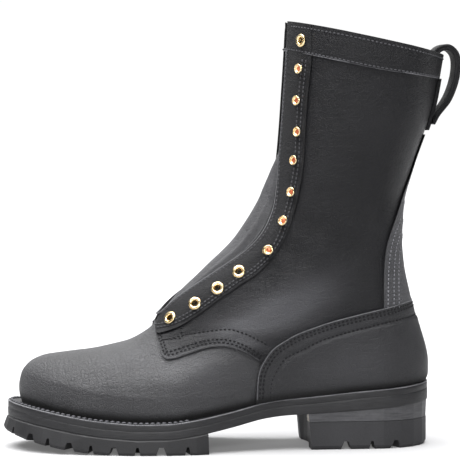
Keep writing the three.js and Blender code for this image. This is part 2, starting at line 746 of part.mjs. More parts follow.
function makeEyelet(y, rise, side) {
  const profile = [
    [eyeletBore, -facingFace - vampWall - 0.4], [eyeletBarrel, -facingFace - vampWall - 0.4],
    [eyeletBarrel, 0.7], [eyeletRadius, 0.7], [eyeletRadius * 0.96, 1.3], [eyeletBore + 1, 1.75],
    [eyeletBore, 1.1], [eyeletBore, -facingFace - vampWall - 0.4],
  ].map(([r, z]) => new THREE.Vector2(r, z));
  const geometry = new THREE.LatheGeometry(profile, 12);
  geometry.rotateX(Math.PI / 2);
  geometry.applyMatrix4(spotFrame(y, rise, side, facingFace));
  return toSolid(geometry);
}

// Hook: a riveted base, a neck on the throat side and a lip bent back over it
function makeHook(y, rise, side) {
  const half = hookWidth / 2;
  const sheet = 1.1;
  const low = 0.7;
  const outline = [
    [half, low], [half, low + sheet], [-half + 2.2, low + sheet], [-half + 1.3, low + 2.2],
    [-half + 1.6, hookReach - sheet], [half - 0.6, hookReach - sheet + 0.5], [half, hookReach + 0.3],
    [-half + 1.5, hookReach], [-half + 0.3, hookReach - 1], [-half, low + 2], [-half, low],
  ].map(([x, z]) => new THREE.Vector2(x, z));
  const bent = new THREE.ExtrudeGeometry(new THREE.Shape(outline), { depth: hookWidth, bevelEnabled: false });
  bent.translate(0, 0, -half);
  bent.rotateX(Math.PI / 2);
  const round = new THREE.CylinderGeometry(half, half, 30, 12);
  round.rotateX(Math.PI / 2);
  const bore = new THREE.CylinderGeometry(1.5, 1.5, 6, 8);
  bore.rotateX(Math.PI / 2);
  bore.translate(0, 0, hookReach + 1.6);
  const solid = toSolid(bent).intersect(toSolid(round)).subtract(toSolid(bore));
  return solid.transform(spotFrame(y, rise, side, facingFace).toArray());
}

const leather = { color: 0x2b2b2d, roughness: 0.55 };
const matLeather = { color: 0x262628, roughness: 0.7 };
const rubber = { color: 0x2a2a2c, roughness: 0.8 };
const edgeLeather = { color: 0x3a3a3d, roughness: 0.6 };
const brass = { color: 0xc9a24b, roughness: 0.25, metalness: 1 };

const group = new THREE.Group();

function addPart(name, solid, look) {
  const mesh = solid.simplify(facetSlack).getMesh();
  const geometry = new THREE.BufferGeometry();
  geometry.setAttribute('position', new THREE.BufferAttribute(new Float32Array(mesh.vertProperties), 3));
  geometry.setIndex(new THREE.BufferAttribute(new Uint32Array(mesh.triVerts), 1));
  const part = new THREE.Mesh(geometry, new THREE.MeshStandardMaterial(look));
  part.name = name;
  group.add(part);
}

addPart('upper', makeUpper(), leather);
addPart('counter', makeCounter(), leather);
addPart('facing_lateral', makeFacing(1), matLeather);
addPart('facing_medial', makeFacing(-1), matLeather);
addPart('collar_band', makeCollarBand(), leather);
addPart('backstay', makeBackstay(), leather);
addPart('tongue', makeTongue(), leather);
addPart('insole', makeInsole(), edgeLeather);
addPart('welt', makeWelt(), edgeLeather);
addPart('midsole', makeMidsole(), edgeLeather);
addPart('outsole', makeOutsole(), rubber);
addPart('heel_stack', makeHeelStack(), edgeLeather);
addPart('heel_lift', makeHeelLift(), rubber);
addPart('pull_loop', makePullLoop(), matLeather);
for (const [side, word] of [[1, 'lateral'], [-1, 'medial']]) {
  hardwareTable.forEach(([y, rise, isHook], i) => {
    const number = String(i + 1).padStart(2, '0');
    if (isHook) addPart(`hook_${word}_${number}`, makeHook(y, rise, side), brass);
    else addPart(`eyelet_${word}_${number}`, makeEyelet(y, rise, side), brass);
  });
}

// Stand the row's origin under the middle of its bounding box
const bounds = new THREE.Box3().setFromObject(group);
const middle = bounds.getCenter(new THREE.Vector3());
for (const part of group.children) part.geometry.translate(-middle.x, -middle.y, -bounds.min.z);

export default group;
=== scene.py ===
import math
import bmesh
import bpy
import numpy as np
from mathutils import Matrix, Vector


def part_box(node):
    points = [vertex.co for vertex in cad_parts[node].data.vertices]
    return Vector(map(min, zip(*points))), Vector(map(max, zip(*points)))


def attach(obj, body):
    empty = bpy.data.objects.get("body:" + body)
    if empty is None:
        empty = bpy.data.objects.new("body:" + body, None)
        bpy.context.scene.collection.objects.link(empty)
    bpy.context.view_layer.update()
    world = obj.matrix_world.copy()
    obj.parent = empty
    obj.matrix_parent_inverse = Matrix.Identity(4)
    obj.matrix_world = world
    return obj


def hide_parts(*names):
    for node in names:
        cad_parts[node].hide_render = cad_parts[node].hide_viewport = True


# Lace-up leather boot: sizes in millimetres in the last's own frame, toe toward -Y, outer side +X.
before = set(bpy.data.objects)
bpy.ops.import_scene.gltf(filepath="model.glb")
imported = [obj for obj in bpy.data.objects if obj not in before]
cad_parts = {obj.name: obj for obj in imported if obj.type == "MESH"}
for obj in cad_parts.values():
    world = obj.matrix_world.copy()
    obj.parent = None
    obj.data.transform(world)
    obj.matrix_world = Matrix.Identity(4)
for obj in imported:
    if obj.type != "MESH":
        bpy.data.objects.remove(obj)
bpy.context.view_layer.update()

sole_length, sole_toe, ball_width = 315.5, -155.0, 116.0
upper_length, upper_toe = 304.0, -146.0
heel_seat, upper_rise = 47.7, 268.3
gap, vamp_wall, quarter_face = 0.3, 1.6, 1.3
counter_thickness, facing_thickness, band_thickness = 1.7, 1.2, 1.2
overlay_inner = quarter_face + gap
facing_face = overlay_inner + facing_thickness
band_face = overlay_inner + band_thickness
counter_face = overlay_inner + counter_thickness
tongue_thickness = 2.6
welt_thickness, midsole_thickness, heel_midsole_extra = 5.0, 6.0, 2.6
throat_half_gap, quarter_half_gap, throat_base = 20.0, 4.0, heel_seat * 0.5
eyelet_radius, eyelet_barrel, eyelet_bore = 4.8, 2.9, 2.3
hook_width, lip_shift, lip_top = 7.2, 2.2, 4.5
loop_width, loop_thickness = 20.0, 4.6
small_turn, search_steps = 0.004, 34

# Underside of the upper: share of the sole's length, share of heel_seat
seat_table = [
    (0, 0.744), (0.067, 0.662), (0.127, 0.591), (0.216, 0.509), (0.304, 0.472),
    (0.365, 0.48), (0.425, 0.528), (0.513, 0.633), (0.552, 0.692), (0.586, 0.746),
    (0.634, 0.792), (0.723, 0.839), (0.815, 0.897), (0.935, 0.96), (1, 1),
]
# Sole's outline: share of its length, half width and middle line as shares of ball_width
outline_table = [
    (0, 0.44, -0.052), (0.1, 0.433, -0.034), (0.16, 0.444, -0.024), (0.24, 0.473, -0.015),
    (0.3, 0.493, -0.006), (0.36, 0.494, 0.006), (0.42, 0.47, 0.022), (0.5, 0.405, 0.034),
    (0.58, 0.35, 0.034), (0.66, 0.326, 0.024), (0.74, 0.328, 0.013), (0.82, 0.336, 0.004),
    (1, 0.324, 0),
]
toe_round, heel_round = 0.22, 0.13

# Rings of the upper: front y, front rise, back y, back rise, droop, follow, six half widths, nose, heel
ring_table = np.array([
    [0, 0.001, 0.995, 0.003, 1.5, 1, 0.672, 0.81, 0.884, 0.707, 0.597, 0.603, 0.2, 0.14],
    [-0.003, 0.041, 0.997, 0.025, 1.6, 1, 0.69, 0.828, 0.905, 0.724, 0.61, 0.614, 0.2, 0.14],
    [0.003, 0.08, 0.997, 0.047, 1.8, 1, 0.681, 0.828, 0.905, 0.733, 0.621, 0.621, 0.2, 0.14],
    [0.021, 0.113, 0.996, 0.066, 2, 1, 0.621, 0.793, 0.888, 0.733, 0.626, 0.624, 0.2, 0.14],
    [0.056, 0.141, 0.993, 0.085, 2, 1, 0.534, 0.741, 0.862, 0.724, 0.629, 0.624, 0.19, 0.14],
    [0.118, 0.164, 0.988, 0.108, 2, 0.95, 0.431, 0.681, 0.814, 0.707, 0.633, 0.621, 0.16, 0.145],
    [0.191, 0.186, 0.98, 0.138, 2, 0.88, 0.353, 0.621, 0.745, 0.686, 0.636, 0.614, 0.13, 0.15],
    [0.263, 0.212, 0.971, 0.173, 1.9, 0.75, 0.336, 0.569, 0.683, 0.671, 0.638, 0.603, 0.12, 0.155],
    [0.316, 0.244, 0.963, 0.211, 1.8, 0.55, 0.328, 0.526, 0.631, 0.659, 0.641, 0.595, 0.12, 0.16],
    [0.364, 0.311, 0.952, 0.264, 1.6, 0.35, 0.319, 0.476, 0.586, 0.652, 0.647, 0.586, 0.12, 0.17],
    [0.461, 0.382, 0.94, 0.332, 1.4, 0.15, 0.328, 0.474, 0.583, 0.655, 0.648, 0.569, 0.14, 0.19],
    [0.552, 0.444, 0.935, 0.404, 1.2, 0, 0.397, 0.526, 0.614, 0.666, 0.652, 0.56, 0.18, 0.22],
    [0.617, 0.542, 0.939, 0.5, 1.05, 0, 0.5, 0.595, 0.659, 0.69, 0.666, 0.569, 0.24, 0.26],
    [0.64, 0.68, 0.966, 0.612, 1, 0, 0.586, 0.655, 0.724, 0.755, 0.724, 0.612, 0.28, 0.3],
    [0.652, 0.858, 1.013, 0.765, 1, 0, 0.647, 0.707, 0.784, 0.821, 0.793, 0.681, 0.3, 0.32],
    [0.661, 1.036, 1.037, 0.912, 1, 0, 0.672, 0.733, 0.819, 0.862, 0.836, 0.724, 0.3, 0.33],
])
ring_stations = np.array([0, 0.18, 0.34, 0.52, 0.72, 1])

# Panel lines seen from the side: (share of upper length, rise share above the welt)
quarter_edge = [
    (0.563, -0.05), (0.565, 0.054), (0.57, 0.091), (0.574, 0.112), (0.562, 0.129), (0.531, 0.157),
    (0.491, 0.181), (0.445, 0.187), (0.399, 0.179), (0.347, 0.172), (0.332, 0.208), (0.328, 0.234),
    (0.331, 0.262), (0.341, 0.288),
]
counter_edge = [
    (0.563, -0.05), (0.565, 0.054), (0.57, 0.091), (0.581, 0.114), (0.604, 0.143), (0.638, 0.164),
    (0.674, 0.181), (0.743, 0.201), (0.812, 0.213), (0.881, 0.224), (0.931, 0.23), (0.99, 0.232),
]
facing_rear_edge = [
    (0.336, 0.238), (0.391, 0.257), (0.447, 0.289), (0.49, 0.315), (0.534, 0.339), (0.571, 0.356),
    (0.608, 0.391), (0.642, 0.45), (0.659, 0.507), (0.669, 0.548), (0.682, 0.634), (0.687, 0.721),
    (0.692, 0.808), (0.699, 0.895), (0.702, 0.936),
]
collar_band_edge = [
    (0.6, 0.968), (0.653, 0.957), (0.702, 0.94), (0.759, 0.919), (0.85, 0.888), (0.948, 0.863),
    (1.009, 0.848), (1.06, 0.838),
]
backstay_edge = [
    (0.881, 0.19), (0.881, 0.29), (0.883, 0.346), (0.889, 0.393), (0.901, 0.432), (0.925, 0.494),
    (0.962, 0.591), (0.995, 0.69),
]
backstay_top = 0.700
# Throat slot: rise above throat_base / upper_rise, half width and shift / throat_half_gap
throat_table = [
    (0.2726, 0, 0), (0.2782, 0.25, 0), (0.2894, 0.4, 0),
    (0.3062, 0.49, 0), (0.3435, 0.625, 0), (0.3863, 0.76, 0),
    (0.4292, 0.895, 0), (0.4609, 0.985, -0.01), (0.5037, 1.045, -0.03),
    (0.5522, 0.965, -0.06), (0.5969, 0.845, -0.08), (0.6379, 0.735, -0.09),
    (0.6901, 0.615, -0.1), (0.7274, 0.555, -0.11), (0.7758, 0.525, -0.11),
    (0.8839, 0.52, -0.11), (0.992, 0.54, -0.11), (1.16, 0.555, -0.11),
]
# Folds down the tongue: place, half width and height as shares of its half width and its swell
fold_table = [(0.66, 0.07, -0.14), (0.52, 0.06, 0.084)]
# Tongue between the facings: level up the upper, mm that it stands forward
tongue_table = [
    (0.56, 0), (0.6, 2.5), (0.667, 6.7), (0.733, 10.4), (0.78, 12),
    (0.81, 11), (0.84, 7.7), (0.87, 2.6), (0.9, 0.6), (0.93, 0),
]
# Eyelets and hooks from the top down, as the panel lines' shares: 1 for a hook, 0 for an eyelet
hardware_table = [
    (0.688, 0.98, 0), (0.684, 0.903, 1), (0.679, 0.816, 1), (0.679, 0.73, 1), (0.671, 0.652, 1),
    (0.663, 0.564, 1), (0.64, 0.483, 1), (0.598, 0.412, 1), (0.531, 0.368, 0), (0.479, 0.335, 0),
    (0.425, 0.304, 0), (0.369, 0.271, 0),
]
# Middle of the pull loop's strap: mm to the rear of the collar's back, and mm above it
loop_table = [
    (-6, -22), (-5.8, -6), (-2.6, 2.8), (5.2, 5.6), (11.2, 0.8), (12.8, -8), (11, -20),
    (6, -33), (-2, -44.5), (-5.4, -52),
]

# Soft troughs in the leather: y, z of two ends in mm, half width, depth
crease_table = [
    (72, 186, 108, 174, 9, 0.35), (62, 168, 96, 150, 9, 0.4), (58, 146, 84, 122, 9, 0.4),
    (-62, 76, -36, 60, 7, 0.3), (-32, 68, -8, 54, 8, 0.3), (40, 116, 66, 96, 9, 0.35),
]
# The fullness round a trough: share of its depth, and its distance and width as shares of the half width
ridge_height, ridge_away, ridge_width = 0.55, 1.7, 0.8

# Painted highlights, pale patches in the leather's colour where the light catches the upper: y, z in mm,
# turn, half length, half width, strength
painted_highlight_table = [
    (42, 103, 0.25, 30, 14, 1), (16, 92, 0.1, 22, 6, 0.8), (66, 116, 0.5, 26, 14, 0.5),
    (-28, 64, -0.15, 44, 13, 0.45), (92, 60, 0, 40, 16, 0.2), (14, 80, -0.1, 16, 4, 0.8),
]

# Stitched lines that are not along an edge, in the panel lines' shares
quarter_second_row = [
    (0.337, 0.215), (0.392, 0.226), (0.447, 0.228), (0.501, 0.222), (0.538, 0.202), (0.568, 0.178),
    (0.599, 0.152),
]
counter_third_row = [
    (0.598, 0.01), (0.598, 0.037), (0.603, 0.063), (0.617, 0.091), (0.637, 0.116), (0.672, 0.131),
    (0.724, 0.154), (0.776, 0.166), (0.846, 0.178), (0.895, 0.186), (0.95, 0.189), (0.99, 0.19),
]
tab_corners = [(0.341, 0.217), (0.389, 0.219), (0.390, 0.245), (0.341, 0.243)]


def pchip(xs, ys, x):
    """Monotone cubic through rows of ys, read at x."""
    xs = np.asarray(xs, float)
    ys = np.asarray(ys, float)
    h = np.diff(xs)
    d = np.diff(ys, axis=-1) / h
    before, after = d[..., :-1], d[..., 1:]
    safe = before * after > 0
    w1 = 2 * h[1:] + h[:-1]
    w2 = h[1:] + 2 * h[:-1]
    slopes = (w1 + w2) / (w1 / np.where(safe, before, 1) + w2 / np.where(safe, after, 1))
    m = np.concatenate([d[..., :1], np.where(safe, slopes, 0), d[..., -1:]], -1)
    x = np.clip(x, xs[0], xs[-1])
    i = np.clip(np.searchsorted(xs, x, side="right") - 1, 0, len(xs) - 2)
    if ys.ndim == 1:
        take = lambda a, k: a[k]
    else:
        take = lambda a, k: np.take_along_axis(a, k[..., None], -1)[..., 0]
    t = (x - xs[i]) / h[i]
    t2, t3 = t * t, t * t * t
    return ((2 * t3 - 3 * t2 + 1) * take(ys, i) + (t3 - 2 * t2 + t) * h[i] * take(m, i)
            + (3 * t2 - 2 * t3) * take(ys, i + 1) + (t3 - t2) * h[i] * take(m, i + 1))


def table_value(table, k, place):
    """Column k of a table, read at a place in its first column."""
    return pchip([row[0] for row in table], [row[k] for row in table], place)


def seat_height(y):
    return table_value(seat_table, 1, (y - sole_toe) / sole_length) * heel_seat


def centre_line(y):
    return table_value(outline_table, 2, (y - sole_toe) / sole_length) * ball_width


def upper_y(share):
    return upper_toe + share * upper_length


def risen(y, share):
    """Height of a share of the upper's rise above the seat line."""
    return seat_height(y) + share * upper_rise


def ring_value(k, v):
    return pchip(np.linspace(0, 1, len(ring_table)), ring_table[:, k], v)


def end_round(share, nose, heel):
    """Share of the width that is left toward two elliptic ends."""
    front = np.clip(1 - share / nose, 0, None)
    back = np.clip(1 - (1 - share) / heel, 0, None)
    return np.sqrt(np.clip(1 - front ** 2, 0, 1)) * np.sqrt(np.clip(1 - back ** 2, 0, 1))


def sole_half_width(share):
    return table_value(outline_table, 1, share) * end_round(share, toe_round, heel_round) * ball_width


def last_points(turn, v):
    """Points of the last, at turns round it from the toe and levels up it."""
    turn, v = np.broadcast_arrays(np.asarray(turn, float) % 1, np.asarray(v, float))
    cols = [ring_value(k, v) for k in range(14)]
    share = (1 - np.cos(2 * np.pi * turn)) / 2
    y_front = upper_y(cols[0])
    y_back = upper_y(cols[2])
    y = y_front + (y_back - y_front) * share
    z_front = risen(y_front, cols[1])
    z_back = risen(y_back, cols[3])
    fall = (1 - share) ** cols[4]
    above = risen(y, cols[3] + (cols[1] - cols[3]) * fall)
    z = cols[5] * above + (1 - cols[5]) * (z_back + (z_front - z_back) * fall)
    half = pchip(ring_stations, np.stack(cols[6:12], -1), share)
    half = half * end_round(share, cols[12], cols[13]) * ball_width / 2
    lean = centre_line(y) * np.clip(1 - (z - seat_height(y)) / (upper_rise * 0.4), 0, None)
    return np.stack([lean + np.where(turn <= 0.5, 1, -1) * half, y, z], -1)


def last_normals(turn, v):
    along = last_points(turn + small_turn, v) - last_points(turn - small_turn, v)
    up = last_points(turn, np.clip(v + small_turn, 0, 1)) - last_points(turn, np.clip(v - small_turn, 0, 1))
    n = np.cross(along, up)
    return n / np.linalg.norm(n, axis=-1, keepdims=True)


def crease_depth(points):
    depth = np.zeros(points.shape[:-1])
    y, z = points[..., 1], points[..., 2]
    for y0, z0, y1, z1, half, deep in crease_table:
        dy, dz = y1 - y0, z1 - z0
        size = math.hypot(dy, dz)
        along = ((y - y0) * dy + (z - z0) * dz) / size ** 2
        across = ((y - y0) * dz - (z - z0) * dy) / size
        reach = np.hypot(across, (along - np.clip(along, 0, 1)) * size)
        ridge = np.exp(-((reach - ridge_away * half) / (half * ridge_width)) ** 2)
        depth += deep * (ridge_height * ridge - np.exp(-(reach / half) ** 2))
    return depth


def offset_points(turn, v, offset, relief=None):
    points = last_points(turn, v)
    rise = offset + crease_depth(points)
    if relief:
        rise = rise + relief(points)
    return points + last_normals(turn, v) * rise[..., None]


def line_distance(points, line):
    """Distance in the side view from each point to a line, and which side it lies on."""
    y, z = points[..., 1].ravel(), points[..., 2].ravel()
    best = np.full(y.shape, 1e9)
    sign = np.ones(y.shape)
    for (y0, z0), (y1, z1) in zip(line[:-1], line[1:]):
        dy, dz = y1 - y0, z1 - z0
        size = max(dy * dy + dz * dz, 1e-9)
        along = np.clip(((y - y0) * dy + (z - z0) * dz) / size, 0, 1)
        away = np.hypot(y - y0 - along * dy, z - z0 - along * dz)
        turn = dy * (z - z0) - dz * (y - y0)
        closer = away < best
        best = np.where(closer, away, best)
        sign = np.where(closer, np.sign(turn), sign)
    return best.reshape(points.shape[:-1]), sign.reshape(points.shape[:-1])


def groove(points, line, deep, half):
    away, _ = line_distance(points, line)
    return -deep * np.exp(-(away / half) ** 2)


def smooth_step(value, low, high):
    t = np.clip((value - low) / (high - low), 0, 1)
    return t * t * (3 - 2 * t)


# Shift from the last's frame to the row's frame
sole_shares = np.linspace(0, 1, 4001)
outer_x = centre_line(sole_toe + sole_shares * sole_length) + sole_half_width(sole_shares)
welt_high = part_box("welt")[1]
shift_x = welt_high[0] * 1000 - outer_x.max()
shift_y = welt_high[1] * 1000 - (sole_toe + sole_length)
shift = np.array([shift_x, shift_y, 0.0])


def in_scene(name, data):
    thing = bpy.data.objects.new(name, data)
    bpy.context.scene.collection.objects.link(thing)
    return thing


def metre_mesh(points, faces, name):
    mesh = bpy.data.meshes.new(name)
    mesh.from_pydata([tuple(p) for p in points], [], faces)
    mesh.validate()
    return in_scene(name, mesh)


def mesh_from(points, faces, name):
    return metre_mesh((np.asarray(points) + shift) * 0.001, faces, name)


def discard(thing):
    mesh = thing.data
    bpy.data.objects.remove(thing)
    bpy.data.meshes.remove(mesh)


def circle(count):
    angles = np.arange(count) * 2 * math.pi / count
    return list(zip(np.cos(angles), np.sin(angles)))


def band_faces(rings, n):
    """Four-sided faces between rings of n points that are numbered one after another."""
    return [(j * n + i, j * n + (i + 1) % n, (j + 1) * n + (i + 1) % n, (j + 1) * n + i)
            for j in range(rings - 1) for i in range(n)]


def tube_faces(rings, n):
    last = (rings - 1) * n
    return [*band_faces(rings, n), tuple(range(n))[::-1], tuple(range(last, last + n))]


def loft(rings, name):
    """Closed loft whose ring point i and point n - i face each other across the foot."""
    n = len(rings[0])
    top = (len(rings) - 1) * n
    faces = band_faces(len(rings), n)
    for k in range(n // 2):
        corners = list(dict.fromkeys([k, k + 1, n - k - 1, (n - k) % n]))
        faces += [tuple(top + i for i in corners), tuple(corners[::-1])]
    return mesh_from(np.concatenate(rings), faces, name)


def form(offset, around=208, steps=150, relief=None):
    """Closed body at an offset from the last, run on below the seat and above the collar."""
    if relief:
        around, steps = 264, 220
    turns = np.arange(around) / around
    levels = np.linspace(0, 1, steps + 1)
    grid = offset_points(turns[None, :], levels[:, None], offset, relief)
    below = grid[:1] + np.array([0, 0, -7.0])
    lower = offset_points(turns[None, :], np.array([[0.96]]), offset, relief)
    rise = grid[-1:] - lower
    above = grid[-1:] + rise / np.linalg.norm(rise, axis=-1, keepdims=True) * 9
    return loft([*below, *grid, *above], "form")


def combined(first, second, operation):
    modifier = first.modifiers.new("cut", "BOOLEAN")
    modifier.object = second
    modifier.operation = operation
    modifier.solver = "MANIFOLD"
    graph = bpy.context.evaluated_depsgraph_get()
    mesh = bpy.data.meshes.new_from_object(first.evaluated_get(graph))
    old = first.data
    first.modifiers.clear()
    first.data = mesh
    bpy.data.meshes.remove(old)
    discard(second)
    return first


def minus(first, second):
    return combined(first, second, "DIFFERENCE")


def both(first, second):
    return combined(first, second, "INTERSECT")


def plus(first, second):
    return combined(first, second, "UNION")


def prism(outline, axis, low, high):
    """Straight solid on a flat outline, run along an axis."""
    outline = np.asarray(outline, float)
    ahead = np.roll(outline, -1, 0)
    if np.sum(outline[:, 0] * ahead[:, 1] - outline[:, 1] * ahead[:, 0]) < 0:
        outline = outline[::-1]
    rows = [(level, a, b) if axis == "x" else (a, level, b) for level in (low, high) for a, b in outline]
    faces = tube_faces(2, len(outline))
    if axis == "y":
        faces = [f[::-1] for f in faces]
    return mesh_from(rows, faces, "prism")


def rectangle(left, right, low, high):
    return [(left, low), (right, low), (right, high), (left, high)]


def side_prism(outline):
    return prism(outline, "x", -ball_width, ball_width)


def spline_line(table, steps):
    """Catmull-Rom line through table points, as the part's own panel lines."""
    pts = np.asarray(table, float)
    pad = np.vstack([pts[:1], pts, pts[-1:]])
    place = np.arange(steps + 1) / steps * (len(pts) - 1)
    i = np.minimum(place.astype(int), len(pts) - 2)
    t = (place - i)[:, None]
    p0, p1, p2, p3 = [pad[i + k] for k in range(4)]
    return 0.5 * (2 * p1 + (p2 - p0) * t + (2 * p0 - 5 * p1 + 4 * p2 - p3) * t * t
                  + (3 * p1 - p0 - 3 * p2 + p3) * t ** 3)


def side_line(shares):
    """Shares of the upper's length and rise, as y and z in the side view."""
    y = upper_y(shares[:, 0])
    return np.stack([y, risen(y, shares[:, 1])], -1)


def panel_line(table, steps):
    return side_line(spline_line(table, steps))


def moved_line(line, distance):
    ahead = np.vstack([line[1:], line[-1]]) - np.vstack([line[0], line[:-1]])
    size = np.linalg.norm(ahead, axis=1, keepdims=True)
    ahead = ahead / size
    return line + np.stack([-ahead[:, 1], ahead[:, 0]], -1) * distance


far_back, far_front = sole_toe + sole_length + 60, sole_toe - 40
far_top = heel_seat + upper_rise * 1.5


def below_seat(lift):
    y = np.linspace(sole_toe - 20, sole_toe + sole_length + 20, 61)
    line = list(zip(y, seat_height(y) + lift))
    return side_prism([*line, (far_back, heel_seat), (far_back, -60), (far_front, -60)])


def collar_point(backward):
    front, back = side_line(ring_table[-1, :4].reshape(2, 2))
    return front + (back - front) * backward


def above_collar():
    return side_prism([collar_point(-0.6), collar_point(1.6), (far_back, far_top), (far_front, far_top)])


def trimmed(thing):
    return minus(minus(thing, below_seat(gap + 0.1)), above_collar())


def throat_at(rise):
    """Half width and shift of the throat's slot."""
    return [table_value(throat_table, k, rise) * throat_half_gap for k in (1, 2)]


def throat_cutter():
    rises = np.concatenate([throat_table[0][0] + np.linspace(0, 0.08, 17) ** 1.6 * 1.4,
                            np.linspace(0.32, throat_table[-1][0], 90)])
    half, middle = throat_at(rises)
    height = throat_base + rises * upper_rise
    right = np.stack([middle + half, height], -1)
    left = np.stack([middle - half, height], -1)
    return prism([*right, *left[1:][::-1]], "y", -65, 85)


def vamp_gap():
    return prism(rectangle(-quarter_half_gap, quarter_half_gap, 0, 160), "y", -200, 60)


def quarter_region(growth):
    edge = moved_line(panel_line(quarter_edge, 96), growth)
    return side_prism([*edge, (edge[-1][0], far_top), (far_back, far_top), (far_back, -40)])


def counter_region(growth):
    edge = moved_line(panel_line(counter_edge, 72), growth)
    return side_prism([*edge, (far_back, edge[-1][1]), (far_back, -40)])


def side_spots(y, z, side):
    """Turn and level of the points on one side that stand at y, z in the side view."""
    low = np.zeros(len(y))
    high = np.ones(len(y))
    for _ in range(search_steps):
        v = (low + high) / 2
        y_front = upper_y(ring_value(0, v))
        share = np.clip((y - y_front) / (upper_y(ring_value(2, v)) - y_front), 0, 1)
        turn = np.arccos(1 - 2 * share) / (2 * np.pi)
        under = last_points(turn, v)[..., 2] < z
        low = np.where(under, v, low)
        high = np.where(under, high, v)
    return (turn if side > 0 else 1 - turn), v


def side_rays(line, side, offset, relief=None):
    """Points and outward directions on one side of the boot along a side-view line."""
    turn, v = side_spots(line[:, 0], line[:, 1], side)
    return offset_points(turn, v, offset, relief), last_normals(turn, v)


def above_seat(line, rise=4.0):
    return line[line[:, 1] > seat_height(line[:, 0]) + rise]


# Seam lines, and the soft grooves and fullness that sewing gives the leather
facing_rear_line = panel_line(facing_rear_edge, 200)
quarter_line = panel_line(quarter_edge, 300)
quarter_line = quarter_line[quarter_line[:, 0] < upper_toe + 0.572 * upper_length]
quarter_line = quarter_line[int(np.argmax(quarter_line[:, 1] > seat_height(quarter_line[:, 0]) + 32)):]
quarter_second_line = panel_line(quarter_second_row, 120)
counter_line = above_seat(panel_line(counter_edge, 260))
counter_third_line = above_seat(panel_line(counter_third_row, 200), 2.0)
collar_line = np.array([collar_point(s) for s in np.linspace(0.02, 0.995, 160)]) + np.array([0, -3.2])
collar_band_line = panel_line(collar_band_edge, 200)
collar_band_line = collar_band_line[collar_band_line[:, 0] < upper_y(1.02)]
backstay_line = panel_line(backstay_edge, 160)
backstay_line = backstay_line[backstay_line[:, 1] > 103]


def tuck(points, deep=1.0):
    """The leather drawn in where it is lasted under, just above the welt."""
    rise = np.clip(points[..., 2] - seat_height(points[..., 1]), 0, None)
    return -deep * np.exp(-(rise / 3.6) ** 2)


def quarter_relief(points):
    pillow, _ = line_distance(points, moved_line(quarter_line, -4.5)[::6])
    return (groove(points, moved_line(quarter_line, -3.2)[::5], 0.35, 1.7)
            + groove(points, quarter_second_line[::5], 0.55, 1.7)
            + 0.25 * np.exp(-(pillow / 2.4) ** 2) + tuck(points))


def counter_relief(points):
    away, side = line_distance(points, counter_third_line[::6])
    fuller = np.where(side < 0, smooth_step(away, 0.2, 3.4), 0.0)
    return (groove(points, moved_line(counter_line, -3.3)[::6], 0.35, 1.9)
            + groove(points, counter_third_line[::6], 0.35, 1.3) + 0.9 * fuller + 1.3 * tuck(points))


def facing_relief(points):
    return (groove(points, moved_line(facing_rear_line, 2.6)[::6], 0.2, 1.6)
            + groove(points, facing_rear_line[::5], 0.9, 1.2)
            + groove(points, collar_line[::8], 0.3, 1.3)
            + groove(points, collar_band_line[::8], 0.5, 1.3))


def spot_frame(y_share, rise_share, side, offset):
    """Frame of a spot on the surface: x away from the throat, z out of the leather."""
    spot = side_line(np.array([[y_share, rise_share]]))
    turn, v = side_spots(spot[:, 0], spot[:, 1], side)
    out = Vector(last_normals(turn, v)[0])
    ahead = Vector(last_points(turn + small_turn * side, v)[0] - last_points(turn, v)[0])
    away = (ahead - out * ahead.dot(out)).normalized()
    turned = Matrix((away, out.cross(away), out)).transposed().to_4x4()
    turned.translation = Vector(offset_points(turn, v, offset)[0])
    return turned


def dressed(thing, name, material, node=None, angle=32):
    """Names and smooths a finished piece, and says what it rides on, replaces and is made of."""
    thing.name = name
    thing.data.name = name
    thing.data.materials.clear()
    thing.data.materials.append(material)
    thing.data.polygons.foreach_set("use_smooth", [True] * len(thing.data.polygons))
    thing.data.set_sharp_from_angle(angle=math.radians(angle))
    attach(thing, "root")
    if node:
        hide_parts(node)
    return thing


# Materials
def fill(thing, sockets):
    """Sets a node's sockets, or links them where the value is another node's socket."""
    for key, value in sockets.items():
        if isinstance(value, bpy.types.NodeSocket):
            thing.id_data.links.new(value, thing.inputs[key])
        else:
            thing.inputs[key].default_value = value


def shading(beside, kind, result, sockets, **facts):
    """A new node in the tree of the socket beside it; gives the new node's result."""
    made = beside.id_data.nodes.new("ShaderNode" + kind)
    for fact, value in facts.items():
        setattr(made, fact, value)
    fill(made, sockets)
    return made.outputs[result]


def blank(name):
    material = bpy.data.materials.new(name)
    material.use_nodes = True
    tree = material.node_tree
    place = tree.nodes.new("ShaderNodeTexCoord")
    return material, tree.nodes["Principled BSDF"], place.outputs["Object"]


def noise(place, scale, detail=3.0, rough=0.5, stretch=None):
    if stretch:
        place = shading(place, "Mapping", "Vector", {"Vector": place, "Scale": stretch})
    sockets = {"Vector": place, "Scale": scale, "Detail": detail, "Roughness": rough}
    return shading(place, "TexNoise", "Fac", sockets)


def cells(place, scale, width):
    """Raised cells, with edges of a given width."""
    sockets = {"Vector": place, "Scale": scale}
    edge = shading(place, "TexVoronoi", "Distance", sockets, feature="DISTANCE_TO_EDGE")
    return spread(edge, 0, 1, 0, width)


def ramp(value, low, high, at=(0.3, 0.7)):
    """A colour between two, each given as red, green, blue, or as grey and blue."""
    colour = shading(value, "ValToRGB", "Color", {"Fac": value})
    for element, place, shade in zip(colour.node.color_ramp.elements, at, (low, high)):
        element.position = place
        element.color = (shade[0], *shade[-2:], 1)
    return colour


def spread(value, low, high, start=0.3, end=0.7):
    sockets = {"Value": value, "From Min": start, "From Max": end, "To Min": low, "To Max": high}
    return shading(value, "MapRange", "Result", sockets)


def mixed(factor, first, second):
    return shading(factor, "Mix", 2, {0: factor, 6: first, 7: second}, data_type="RGBA")


